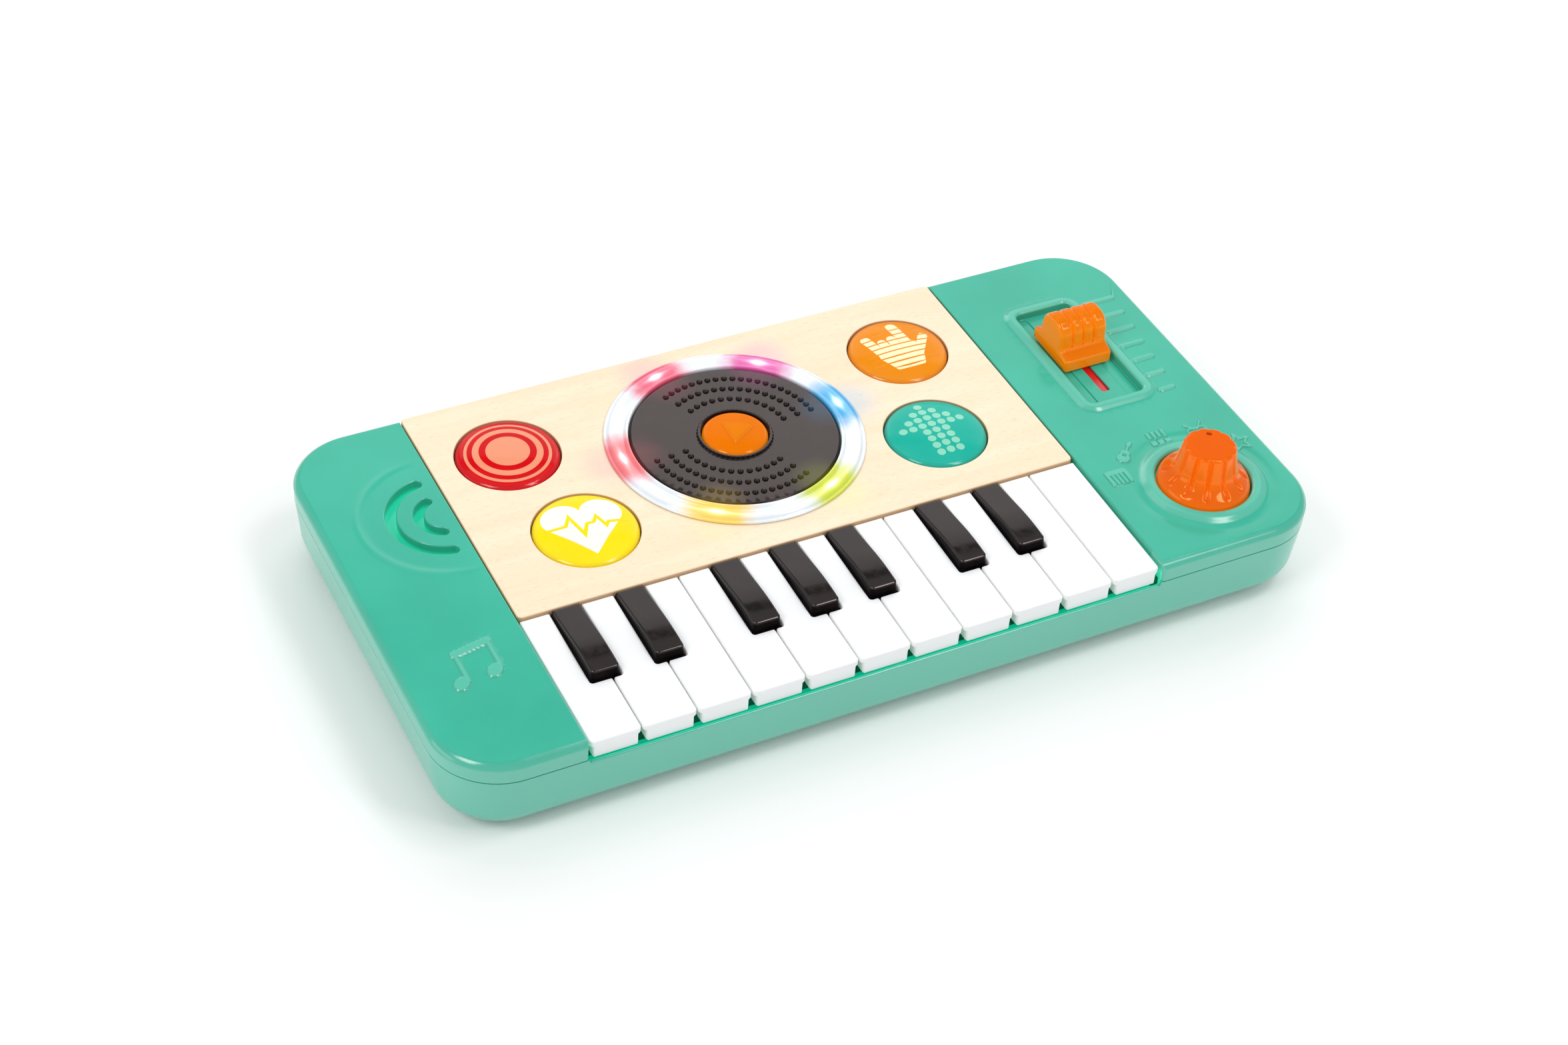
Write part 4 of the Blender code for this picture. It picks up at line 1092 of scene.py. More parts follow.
def upper_case():
    """The top shell: its two ends, the bay between them for keys and panel, and every opening."""
    shape = Shape()
    low = SEAM + GAP / 2
    levels = [(0.25, low), (0.07, low + 0.07), (0.0, low + 0.25)]
    levels += fillet(0.0, TOP, TOP_FILLET, 12, True, 1.35)
    rings = [shape.level(case_outline(inset), z) for inset, z in levels]
    shape.stack(rings)
    shape.face(list(reversed(rings[0])))
    shape.skin(rings[-1], lambda x, y: TOP + relief(x, y), relief_points())
    case = shape.make("upper_case_shell", GREEN)
    cut(case, flared(bay_outline(HALF_D + 4), BED_TOP, TOP, 0.6))
    cut(case, prism(bay_outline(BED_FRONT), low - 3, BED_TOP + 1))
    for inner_x, side in ((BAY_X0 - WALL, -1), (BAY_X1 + WALL, 1)):
        cut(case, prism(end_outline(inner_x, side), low - 3, ROOF))
    for x, y, r in PANEL_HOLES:
        cut(case, prism(circle(x, y, r, 96), low - 3, BED_TOP + 2))
    for radius, half_width, spread in SLOTS:
        cut(case, flared(slot_outline(radius, half_width, spread), ROOF + SLOT_FLOOR, TOP, 0.5))
    cut_fader_well(case)
    cut(case, flared(circle(KNOB_X, KNOB_Y, KNOB_HOLE_R, 96), CUP_FLOOR, TOP + COLLAR_H, 0.9))
    cut(case, prism(circle(KNOB_X, KNOB_Y, SHAFT_HOLE_R), ROOF - 1, TOP))
    smooth(case)
    level_faces(case)
    return place(case, "case", "green_plastic", "upper_case")


def cut_fader_well(case):
    """The well, its slightly lower sides, its slot, and the channel under it for the red strip."""
    well = rounded_rect(FADER_X - WELL_HALF_W, FADER_X + WELL_HALF_W, WELL_Y0, WELL_Y1, WELL_R, 8)
    cut(case, flared(well, WELL_FLOOR, TOP + RIM_H, 1.1))
    half = STRIP_HALF_W + 0.4
    cut(case, block(FADER_X - half, FADER_X + half, STRIP_Y0 - STRIP_NEAR, STRIP_Y1 + STRIP_FAR,
                    ROOF - 1, STRIP_TOP + GAP))
    slot = rounded_rect(FADER_X - FADER_SLOT_HALF_W, FADER_X + FADER_SLOT_HALF_W,
                        FADER_SLOT_Y0, FADER_SLOT_Y1, 0.9, 6)
    cut(case, flared(slot, ROOF - 1, WELL_FLOOR, 0.3))
    margin = 0.3
    inner, outer = 6.0, WELL_HALF_W - margin
    for side in (-1, 1):
        x = FADER_X + side * (inner + outer) / 2
        half = (outer - inner) / 2
        lower = rounded_rect(x - half, x + half, WELL_Y0 + margin, WELL_Y1 - margin, 1.8, 5)
        cut(case, flared(lower, WELL_FLOOR - 0.45, WELL_FLOOR, 0.25, 3))


def lower_case():
    """The bottom shell, with the rail and the shelf under the fronts of the white keys."""
    bottom = fillet(DRAFT, CASE_BOTTOM, BOTTOM_FILLET, 14, False)
    rim = SEAM - GAP / 2
    levels = list(reversed(bottom)) + [(0.1, rim - 0.3), (0.16, rim - 0.09), (0.4, rim)]
    case = solid([(case_outline(inset), z) for inset, z in levels], "lower_case_shell", GREEN)
    inner = fillet(DRAFT + WALL, CASE_BOTTOM + WALL, BOTTOM_FILLET - WALL, 6, False)
    hollow = [(case_outline(inset, 12), z) for inset, z in reversed(inner)]
    cut(case, solid(hollow + [(case_outline(WALL, 12), SEAM + 2)]))
    add_seam_lip(case)
    notch = rounded_rect(BAY_X0, BAY_X1, RAIL_TOP, SEAM + 4, 0.7, 5)
    cut(case, bar_y(-HALF_D - 1, -HALF_D + 8, notch))
    pocket = rounded_rect(BAY_X0, BAY_X1, RAIL_TOP - 4.2, SEAM + 4, 0.7, 4)
    cut(case, bar_y(RAIL_INNER_Y, -70, pocket))
    # The shelf closes the pocket under the keys, so that the painted glow of the hollows shows there.
    shelf = block(BAY_X0 + 0.5, BAY_X1 - 0.5, RAIL_INNER_Y - 0.3, -74.3, RAIL_TOP - 6.4, RAIL_TOP - 4.3)
    join(case, shelf)
    cut(case, rail_rounding())
    cut_underside(case)
    smooth(case)
    level_faces(case)
    return place(case, "case", "green_plastic", "lower_case")


def add_seam_lip(case):
    """A low inner lip that closes the gap between the shells, set back from the outside."""
    shape = Shape()
    levels = (SEAM - 1.2, SEAM + GAP / 2 - 0.06)
    outer = [shape.level(case_outline(0.45, 12), z) for z in levels]
    inner = [shape.level(case_outline(WALL + 0.4, 12), z) for z in levels]
    shape.stack([outer[0], outer[1], inner[1], inner[0], outer[0]])
    join(case, shape.make("lip"))


def rail_rounding():
    """Cuts the outer top edge of the rail to a small radius."""
    r = 0.8
    y = -HALF_D + 0.12
    corner = [(y - 1.0, RAIL_TOP + 0.01), (y - 1.0, RAIL_TOP - r)]
    corner += arc(y + r, RAIL_TOP - r, r, 180, 90, 6)
    corner.append((y + r, RAIL_TOP + 0.01))
    return bar_x(BAY_X0 + 0.3, BAY_X1 - 0.3, corner)


def cut_underside(case):
    """Seats for the battery door, screws, feet and switch."""
    low, high = span("battery_door")
    (x0, y0), (x1, y1) = low[:2] - DOOR_CLEAR, high[:2] + DOOR_CLEAR
    seat = rounded_rect(x0, x1, y0, y1, 1.6)
    cut(case, prism(seat, CASE_BOTTOM - 1, CASE_BOTTOM + 1.9))
    for i in range(1, 5):
        x, y = middle("case_screw_%d" % i)[:2]
        join(case, prism(circle(x, y, SCREW_BOSS_R), CASE_BOTTOM + 0.5, SCREW_BOSS_TOP))
        well = circle(x, y, SCREW_WELL_R)
        cut(case, solid([(circle(x, y, SCREW_WELL_R + 0.8), CASE_BOTTOM - 0.5), (well, CASE_BOTTOM + 0.6),
                         (well, SCREW_SEAT)]))
        cut(case, prism(circle(x, y, SCREW_BORE_R, 24), 5, 14))
        x, y = middle("foot_%d" % i)[:2]
        cut(case, prism(circle(x, y, FOOT_SEAT_R), CASE_BOTTOM - 1, CASE_BOTTOM + SEAT_DEPTH))
    slot = rounded_rect(SWITCH_NUB_X0 - 0.6, SWITCH_NUB_X1 + 0.4 + SWITCH_TRAVEL,
                        SWITCH_Y - 2.3, SWITCH_Y + 2.3, 0.5, 4)
    cut(case, prism(slot, CASE_BOTTOM - 1, CASE_BOTTOM + WALL + 2))


# ---------------------------------------------------------------- panel

def wood_panel():
    """A flat board with rounded edges and a hole for each pad and for the record."""
    x0, y0 = WOOD_LOW[:2]
    x1, y1 = WOOD_HIGH[:2]
    low = WOOD_LOW[2]
    side, front = 0.6, 0.75

    def outline(share):
        return rounded_rect(x0 + side * share, x1 - side * share, y0 + front * share, y1 - front * share,
                            1.9 - 0.6 * share, 8)

    levels = [(outline(0.25), low), (outline(0.0), low + 0.4)]
    for s, c in quarter(8):
        levels.append((outline(1 - c), TOP - front + front * s))
    panel = solid(levels, "panel", WOOD)
    for x, y, r in PANEL_HOLES:
        cut(panel, flared(circle(x, y, r, 128), low - 1, TOP, 0.35))
    smooth(panel)
    level_faces(panel)
    return place(panel, "case", "plywood", "wood_panel")


# ---------------------------------------------------------------- keys

KEY_TOP = span("white_key_01")[1][2]
KEY_BOTTOM = TOP - 8.2
KEY_FRONT = span("white_key_01")[0][1]
KEY_BACK = WOOD_LOW[1] - 0.33
BLACK_FRONT = span("black_key_01")[0][1]
NOTCH_CLEAR = 0.35
KEY_RISE = 1.0   # how much higher a white key is at its back


def white_corners(node):
    """Corners of a white key's top, counterclockwise from the front left, as (x, y, radius)."""
    low, high = span(node)
    left, right = low[0], high[0]
    rear_left, rear_right = left, right
    for black in BLACK_KEYS:
        black_low, black_high = span(black)
        if left < black_low[0] < right:
            rear_right = black_low[0] - NOTCH_CLEAR
        if left < black_high[0] < right:
            rear_left = black_high[0] + NOTCH_CLEAR
    notch = BLACK_FRONT - 0.5
    corners = [(left, KEY_FRONT, 1.5), (right, KEY_FRONT, 1.5)]
    if rear_right < right:
        corners += [(right, notch, 0.6), (rear_right, notch, 1.0)]
    corners += [(rear_right, KEY_BACK, 0.5), (rear_left, KEY_BACK, 0.5)]
    if rear_left > left:
        corners += [(rear_left, notch, 1.0), (left, notch, 0.6)]
    return corners


def key_slope(y):
    return KEY_RISE * (y - KEY_FRONT) / (KEY_BACK - KEY_FRONT)


def white_key(node):
    """A slab with a rounded edge that stands proud of its narrower hollow skirt at the sides."""
    outline = rounded(white_corners(node), 6)
    lip = 0.95
    skirt = narrowed(outline, lip)
    levels = [(narrowed(skirt, 0.15), KEY_BOTTOM), (skirt, KEY_BOTTOM + 0.2), (skirt, KEY_TOP - 2.35),
              (narrowed(outline, lip * 0.8), KEY_TOP - 2.1), (narrowed(outline, 0.12), KEY_TOP - 1.98),
              (outline, KEY_TOP - 1.8)]
    edge = 0.6
    for s, c in quarter(6):
        levels.append((shifted(outline, edge * (1 - c)), KEY_TOP - edge + edge * s))
    shape = Shape()
    rings = []
    for ring, z in levels:
        lifted = 0.0 if z < KEY_TOP - 3 else 1.0
        rings.append(shape.ring([(x, y, z + lifted * key_slope(y)) for x, y in ring]))
    inner = [shape.level(shifted(outline, lip + 1.2), z) for z in (KEY_TOP - 2.6, KEY_BOTTOM)]
    shape.stack(rings)
    shape.skin(rings[-1], lambda x, y: KEY_TOP + key_slope(y))
    shape.face(list(reversed(inner[0])))
    shape.stack([inner[0], inner[1], rings[0]])
    key = shape.make(node + "_cap", WHITE)
    level_faces(key)
    return place(key, node, "white_plastic", node)


def black_top(y):
    """Height of a black key along its length: it climbs from the panel, then falls a little to the front."""
    climb = 0.1 + 0.102 * (KEY_BACK - y)
    fall = 1.7 + 0.062 * (y - BLACK_FRONT)
    blend = 1.1
    h = np.clip(0.5 + 0.5 * (fall - climb) / blend, 0, 1)
    return TOP + fall * (1 - h) + climb * h - blend * h * (1 - h)


def black_key(node):
    """A bar with an arched top, upright sides and front, and rounded edges."""
    low, high = span(node)
    x = (low[0] + high[0]) / 2
    half = (high[0] - low[0]) / 2
    front = BLACK_FRONT + 0.15
    edge = 0.6
    draft = 0.42
    corners = [(x - half, front, 1.7), (x + half, front, 1.7), (x + half, KEY_BACK, 0.4),
               (x - half, KEY_BACK, 0.4)]
    outline = dense(rounded(corners, 8), 1.2)
    shape = Shape()
    rings = [shape.level(outline, KEY_BOTTOM), shape.level(outline, KEY_TOP - 0.5)]
    for s, c in quarter(8):
        inset = draft + edge * (1 - c)
        drop = edge * (1 - s)
        rings.append(shape.ring([(px, py, black_top(py) - drop) for px, py in shifted(outline, inset)]))
    shape.stack(rings)
    shape.face(list(reversed(rings[0])))
    px, py = fine_grid(x - half + 1.6, x + half - 1.5, front + 1.8, KEY_BACK - 1.2, 1.3)
    shape.skin(rings[-1], lambda px, py: black_top(py), list(zip(px, py)))
    key = shape.make(node + "_cap", BLACK, sharp=45)
    level_faces(key)
    return place(key, node, "black_plastic", node)


# ---------------------------------------------------------------- pads

PAD_R = 17.45
PAD_EDGE = 1.5
PAD_BORE_R = 15.6
PAD_FLANGE_R = 18.9
PLUNGER_R = 3.0
RED = (0.64, 0.0012, 0.005)
SALMON = (0.84, 0.30, 0.165)
YELLOW = (0.96, 0.73, 0.006)
CREAM_WHITE = (0.95, 0.90, 0.82)
PAD_ORANGE = (0.82, 0.26, 0.004)
CREAM = (0.97, 0.86, 0.52)
TEAL = (0.014, 0.44, 0.34)
MINT = (0.26, 0.66, 0.49)


def dome(r):
    """Height of a pad's top at distance r from its middle."""
    return TOP + 1.9 - 0.0042 * r ** 2 - 7e-6 * r ** 4


def ring_print():
    """Concentric rings: a solid spot, a broad ring and a thin ring."""
    radii = [share * PAD_R for share in (0.42, 0.55, 0.675, 0.775, 0.835)]

    def picture(x, y):
        r = np.hypot(x, y)
        return (r < radii[0]) | ((r > radii[1]) & (r < radii[2])) | ((r > radii[3]) & (r < radii[4]))

    return [circle(0, 0, r, 96) for r in radii], picture


def heart_print():
    """A broad heart crossed by a pulse line in the pad's own colour."""
    lobe_r, lobe_x, lobe_y, tip_y = 6.9, 6.5, 5.4, -12.9
    reach = math.hypot(lobe_x, lobe_y - tip_y)
    to_lobe = math.degrees(math.atan2(lobe_y - tip_y, lobe_x))
    end = to_lobe - math.degrees(math.asin(lobe_r / reach)) - 90
    start = math.degrees(math.acos(-lobe_x / lobe_r))
    right = arc(lobe_x, lobe_y, lobe_r, start, end, 40)
    left = [(-x, y) for x, y in reversed(right)]
    heart = (right + [(0.0, tip_y)] + left)[::-1]
    pulse = stroke([(-17, 1.4), (-6.3, 1.4), (-4.3, 5.5), (-1.4, -3.9), (0.5, 0.8), (2.9, 1.1), (4.4, 3.7),
                    (6.5, -1.4), (7.5, 0.2), (17, 0.2)], 1.25)

    heart = turned_by(heart, -6)
    pulse = clipped(turned_by(pulse, -6))

    def picture(x, y):
        return inside(heart, x, y) & ~inside(pulse, x, y)

    return [heart, pulse], picture


def clipped(outline):
    """The outline kept inside the flat part of the pad."""
    limit = PAD_R - PAD_EDGE - 0.3
    kept = []
    for x, y in outline:
        r = math.hypot(x, y)
        share = min(1.0, limit / r)
        kept.append((x * share, y * share))
    return kept


def capsule_outline(x0, y0, x1, y1, r):
    a = math.degrees(math.atan2(y1 - y0, x1 - x0))
    return arc(x1, y1, r, a - 90, a + 90, 10) + arc(x0, y0, r, a + 90, a + 270, 10)


def hand_print():
    """A hand with the first and little fingers up, cut by thin level stripes."""
    shapes = [
        rounded([(-5.0, -10.6, 1.2), (5.6, -10.6, 1.2), (7.6, -5.0, 1.5), (7.4, 2.2, 1.2), (-8.2, 2.6, 1.0),
                 (-8.4, -3.5, 3.0)], 6),
        capsule_outline(-7.0, 0.0, -8.6, 8.2, 1.75),
        capsule_outline(-3.6, 0.0, -4.0, 4.3, 1.75),
        capsule_outline(0.1, 0.0, 0.0, 5.0, 1.8),
        capsule_outline(4.2, 0.0, 3.4, 11.9, 2.0),
        capsule_outline(5.6, -5.2, 11.6, 3.4, 1.7),
    ]
    reach, width, pitch = 13.0, 0.6, 2.75
    stripes = []
    for k in range(8):
        y = -9.6 + pitch * k
        stripes.append([(-reach, y), (reach, y), (reach, y + width), (-reach, y + width)])

    def picture(x, y):
        hand = np.any([inside(s, x, y) for s in shapes], axis=0)
        gaps = np.any([inside(s, x, y) for s in stripes], axis=0)
        return hand & ~gaps

    return shapes + [clipped(s) for s in stripes], picture


def dot_print():
    """An arrow of round dots pointing away from the player."""
    columns = ((0.0, 13.3, 8), (3.6, 9.8, 7), (7.2, 6.2, 2), (10.8, 3.2, 1))   # (x, top, count)
    dot_r, pitch = 1.45, 3.4
    dots = []
    for x, top, count in columns:
        for k in range(count):
            for side in ((-1, 1) if x else (1,)):
                dots.append(circle(side * x, top - pitch * k, dot_r, 24))

    def picture(x, y):
        return np.any([inside(dot, x, y) for dot in dots], axis=0)

    return dots, picture


def pad(node, slot, finish, ink, artwork):
    """A low dome with a rounded edge. The print is a second material on the faces inside its outlines."""
    cx, cy = middle(node)[:2]
    outlines, picture = artwork()
    flat_r = PAD_R - PAD_EDGE
    levels = [(PAD_BORE_R, TOP - 8.7), (PAD_FLANGE_R, TOP - 8.7), (PAD_FLANGE_R, TOP - 7.6),
              (PAD_R, TOP - 7.6)]
    for s, c in reversed(quarter(8)):
        r = flat_r + PAD_EDGE * s
        levels.append((r, dome(r) - PAD_EDGE + PAD_EDGE * c))
    shape = Shape()
    rings = [shape.level(circle(cx, cy, r, 128), z) for r, z in levels]
    plunger_end = TOP - 9.0
    inner = [shape.level(circle(cx, cy, r, 128), z)
             for r, z in ((PLUNGER_R, plunger_end), (PLUNGER_R, TOP - 0.6), (PAD_BORE_R, TOP - 1.8))]
    shape.tip(inner[0], (cx, cy, plunger_end), False)
    shape.stack(inner + rings)
    x, y = fine_grid(-flat_r, flat_r, -flat_r, flat_r, 0.9)
    keep = np.hypot(x, y) < flat_r - 0.4
    points = [(cx + a, cy + b) for a, b in zip(x[keep], y[keep])]
    loops = [[(cx + a, cy + b) for a, b in outline] for outline in outlines]
    shape.skin(rings[-1], lambda x, y: dome(np.hypot(x - cx, y - cy)), points, loops,
               lambda x, y: picture(x - cx, y - cy).astype(int))
    made = shape.make(node + "_cap", finish, ink, sharp=50)
    return place(made, node, slot, node)


# (node, slot, material and its colour, ink and its colour, artwork)
PADS = (
    ("pad_red", "red_plastic", "red_plastic", RED, "salmon_print", SALMON, ring_print),
    ("pad_yellow", "yellow_plastic", "yellow_plastic", YELLOW, "white_print", CREAM_WHITE, heart_print),
    ("pad_orange", "orange_gloss_plastic", "orange_gloss", PAD_ORANGE, "cream_print", CREAM, hand_print),
    ("pad_teal", "teal_plastic", "teal_plastic", TEAL, "mint_print", MINT, dot_print),
)


# ---------------------------------------------------------------- record, light ring and play button

DISC_TOP = TOP + 1.2
FACING = -119.3        # bearing of the record's lower bumps: towards a player's left hand
BUMP_SPREAD = 112.0    # degrees covered by each arc of bumps
BUMP_ROWS = ((29.7, 21), (24.3, 17), (18.9, 13))   # (radius, count)


def record():
    """Glossy disc with raised grip bumps in three arcs on two sides, and a knurled ring in its middle."""
    profile = [
        (12.9, TOP - 8.6), (12.9, TOP - 1.4), (35.0, TOP - 1.4), (35.3, TOP - 1.1), (35.3, TOP + 0.35),
        (35.15, TOP + 0.75), (34.8, TOP + 1.05), (34.3, DISC_TOP), (13.3, DISC_TOP), (13.0, TOP + 1.3),
        (12.8, TOP + 1.6), (12.7, TOP + 1.95), (12.45, TOP + 2.1), (11.95, TOP + 2.1), (11.65, TOP + 1.95),
        (11.5, TOP + 1.6), (11.45, TOP - 2.8), (11.1, TOP - 3.4), (11.1, TOP - 8.6),
    ]

    def knurl(r, z, a):
        on_flank = 12.6 < r < 13.1 and z > DISC_TOP
        return r - (0.25 if on_flank and math.sin(48 * a) > 0.2 else 0.0)

    disc = turned("record_top", DISC_X, DISC_Y, profile, DISC_BLACK, count=384, wave=knurl)
    bumps = Shape()
    for side in (0, 180):
        for r, count in BUMP_ROWS:
            for k in range(count):
                a = math.radians(FACING + side + BUMP_SPREAD * (k / (count - 1) - 0.5))
                add_bump(bumps, DISC_X + r * math.cos(a), DISC_Y + r * math.sin(a))
    join(disc, bumps.make("bumps"))
    smooth(disc)
    level_faces(disc)
    return place(disc, "record", "black_plastic", "record_disc")


def add_bump(shape, cx, cy):
    """A small dome that starts inside the disc."""
    r, height = 1.1, 0.85
    rings = [shape.level(circle(cx, cy, r, 16), z) for z in (DISC_TOP - 0.6, DISC_TOP + 0.02)]
    for s, c in quarter(5)[1:-1]:
        rings.append(shape.level(circle(cx, cy, r * c, 16), DISC_TOP + height * s))
    shape.face(list(reversed(rings[0])))
    shape.stack(rings)
    shape.tip(rings[-1], (cx, cy, DISC_TOP + height), True)


def light_ring():
    """A moulded ring: raised inner lip, shallow trough, broad crown, and a thin outer bevel."""
    profile = [
        (36.2, TOP - 6.4), (36.2, TOP - 1.6), (35.65, TOP - 1.0), (35.65, TOP + 1.0), (35.75, TOP + 1.45),
        (36.0, TOP + 1.68), (36.4, TOP + 1.68), (36.8, TOP + 1.4), (37.15, TOP + 0.95), (37.8, TOP + 0.85),
        (38.4, TOP + 1.0), (39.4, TOP + 1.35), (40.5, TOP + 1.6), (41.4, TOP + 1.65), (42.1, TOP + 1.5),
        (42.5, TOP + 1.15), (42.7, TOP + 0.75), (42.95, TOP + 0.65), (43.2, TOP + 0.85),
        (43.6, TOP + 0.85), (43.9, TOP + 0.65), (44.0, TOP + 0.4), (44.0, TOP + 0.3), (42.2, TOP + 0.3),
        (42.2, TOP - 6.4),
    ]
    ring = turned("ring_lens", DISC_X, DISC_Y, profile[::-1], LIGHT, count=192, sharp=60)
    return place(ring, "case", "clear_plastic", "light_ring")


def play_button():
    """A domed button with a raised play mark that points along +X."""
    r, edge = 11.1, 1.3
    flat_r = r - edge

    def crown(q):
        return TOP + 2.6 - 0.0045 * q ** 2

    mark = [(7.0, 0.4), (-2.4, 6.1), (-2.4, -5.3)]

    def height(x, y):
        dx, dy = x - DISC_X, y - DISC_Y
        line = from_outline(dx, dy, mark)
        return crown(np.hypot(dx, dy)) + rise(line, 0.85, 0.38)

    levels = [(8.2, TOP - 8.9), (8.2, TOP - 0.9), (r, TOP - 0.9)]
    for s, c in reversed(quarter(8)):
        q = flat_r + edge * s
        levels.append((q, crown(q) - edge + edge * c))
    shape = Shape()
    rings = [shape.level(circle(DISC_X, DISC_Y, q, 96), z) for q, z in levels]
    shape.stack(rings)
    shape.face(list(reversed(rings[0])))
    x, y = fine_grid(DISC_X - flat_r, DISC_X + flat_r, DISC_Y - flat_r, DISC_Y + flat_r, 0.22)
    keep = np.hypot(x - DISC_X, y - DISC_Y) < flat_r - 0.2
    # The faces of the mark take the lighter orange: painted light.
    shape.skin(rings[-1], height, list(zip(x[keep], y[keep])),
               pick=lambda x, y: inside(mark, x - DISC_X, y - DISC_Y).astype(int))
    button = shape.make("play_cap", ORANGE, MARK_PAINTED_LIGHT, sharp=50)
    return place(button, "play", "orange_plastic", "play_button")


# ---------------------------------------------------------------- fader

def fader_cap():
    """A saddle with four rounded ribs over its hump and a ledge on each side."""
    y0, y1 = FADER_LOW[1] + 0.25, FADER_HIGH[1] - 0.25
    low = WELL_FLOOR + 0.5
    hump = FADER_Y + 0.4
    crest = TOP + 14.8
    ledge = TOP + 4.9
    corners = [
        (y0, low, 0.9), (y1, low, 0.9), (y1, TOP + 3.0, 1.1), (hump + 6.9, ledge, 1.6),
        (hump + 6.3, crest, 5.9), (hump - 6.3, crest, 5.9), (hump - 6.9, ledge, 1.6), (y0, TOP + 3.0, 1.1),
    ]
    outline = dense(rounded(corners, 14), 0.6)
    inner = np.array(shifted(outline, 1.0))
    outline = np.array(outline)
    inward = inner - outline
    half = (FADER_HIGH[0] - FADER_LOW[0]) / 2
    edge = 1.4
    rib_pitch, groove_depth = 4.2, 1.15
    upper = np.clip((outline[:, 1] - (TOP + 5.4)) / 1.3, 0, 1)
    upper = np.sqrt(upper * (2 - upper))
    shape = Shape()
    rings = []
    ends = [edge - edge * c for _, c in quarter(8)[:-1]]
    stations = [-half + e for e in ends] + list(np.arange(-half + edge, half - edge + 0.01, 0.2))
    stations += [half - e for e in reversed(ends)]
    for x in stations:
        tuck = edge - math.sqrt(max(0.0, edge ** 2 - max(0.0, abs(x) - half + edge) ** 2))
        wave = 0.5 + 0.5 * math.cos(2 * math.pi * x / rib_pitch)
        groove = wave ** 4 if abs(x) < 1.5 * rib_pitch else 0.0
        depth = tuck + upper * groove * groove_depth
        ring = outline + inward * depth[:, None]
        rings.append(shape.ring([(FADER_X + x, y, z) for y, z in ring]))
    shape.stack(rings)
    shape.close(rings[0], rings[-1])
    cap = shape.make("fader_grip", ORANGE, sharp=60)
    join(cap, block(FADER_X - 1.0, FADER_X + 1.0, FADER_Y - 3, FADER_Y + 3, TOP - 9.4, TOP + 2))
    smooth(cap, 60)
    return place(cap, "fader", "orange_plastic", "fader_cap")


def fader_strip():
    """The red strip that shows in the fader's slot and slides with the cap, just under the well's floor."""
    outline = rounded_rect(FADER_X - STRIP_HALF_W, FADER_X + STRIP_HALF_W, STRIP_Y0, STRIP_Y1, 1.0, 5)
    strip = solid([(shifted(outline, 0.15), STRIP_TOP - 0.8), (outline, STRIP_TOP - 0.65),
                   (outline, STRIP_TOP - 0.15), (shifted(outline, 0.15), STRIP_TOP)], "red_slide", RED_STRIP)
    cut(strip, block(FADER_X - 1.3, FADER_X + 1.3, FADER_Y - 3.3, FADER_Y + 3.3, ROOF - 1, TOP))
    smooth(strip)
    return place(strip, "fader", "red_strip", "fader_strip")


# ---------------------------------------------------------------- selector

def selector_knob():
    """A bell shaped knob with twelve flutes that end in drops on the skirt, and a dimple as pointer."""
    corners = [(14.0, TOP - 2.6, 0.01), (15.7, TOP - 2.6, 0.5), (15.6, TOP + 1.9, 4.6),
               (10.5, TOP + 6.0, 6.5), (8.75, TOP + 16.0, 1.25), (7.4, TOP + 16.0, 0.01)]
    side = resampled(bent(corners, 14), 0.32)
    top = max(z for _, z in side)
    flute_end = TOP + 3.6
    count = 288
    shape = Shape()
    rings = []
    for r, z in side:
        ring = []
        for i in range(count):
            a = 2 * math.pi * i / count
            nearest = round(a / (math.pi / 6)) * math.pi / 6
            aside = r * (a - nearest)
            below = max(0.0, flute_end - z) * 1.35
            drop = math.exp(-((z - flute_end) / 2.2) ** 2)
            away = math.hypot(aside, below) / (1.0 + 0.35 * drop)
            depth = (1.15 + 0.25 * drop) * max(0.0, 1 - away * away) ** 1.5
            top_fade = min(1.0, max(0.0, (TOP + 16.3 - z) / 1.2))
            q = r - depth * top_fade
            ring.append((KNOB_X + q * math.cos(a), KNOB_Y + q * math.sin(a), z))
        rings.append(shape.ring(ring))
    shape.stack(rings)
    shape.face(list(reversed(rings[0])))
    pointer = math.radians(62.0)
    px, py = KNOB_X + 5.7 * math.cos(pointer), KNOB_Y + 5.7 * math.sin(pointer)
    dimple_r, dimple_depth = 1.05, 1.4

    def height(x, y):
        bowl = np.clip(1 - (np.hypot(x - px, y - py) / dimple_r) ** 2, 0, 1)
        return top - dimple_depth * np.sqrt(bowl)

    x, y = fine_grid(px - 1.3, px + 1.3, py - 1.3, py + 1.3, 0.12)
    # The faces inside the dimple take the darker orange: painted shade.
    shape.skin(rings[-1], height, list(zip(x, y)), [circle(px, py, dimple_r, 32)],
               lambda x, y: (np.hypot(x - px, y - py) < 0.98).astype(int))
    knob = shape.make("selector_bell", KNOB_ORANGE, DIMPLE_PAINTED_SHADE, sharp=45)
    level_faces(knob)
    return place(knob, "selector", "orange_plastic", "selector_knob")


def bent(corners, steps=6):
    """An open line through (x, y, radius) corners, with its inner corners rounded."""
    first, last = corners[0], corners[-1]
    apex = ((first[0] + last[0]) / 2 - 40, (first[1] + last[1]) / 2, 0.01)
    return rounded([apex] + corners, steps)[steps + 1:]


def resampled(line, step):
    """The same open line with points about step apart."""
    p = np.array(line)
    lengths = np.concatenate([[0], np.cumsum(np.hypot(*np.diff(p, axis=0).T))])
    count = int(lengths[-1] / step) + 1
    at = np.linspace(0, lengths[-1], count)
    return list(zip(np.interp(at, lengths, p[:, 0]), np.interp(at, lengths, p[:, 1])))


# ---------------------------------------------------------------- underside

def cross_recess(x, y, z, size):
    """Cutters for the cross in a screw head, from below."""
    return [block(x - size, x + size, y - size * 0.26, y + size * 0.26, z - 1, z + 0.9),
            block(x - size * 0.26, x + size * 0.26, y - size, y + size, z - 1, z + 0.9)]


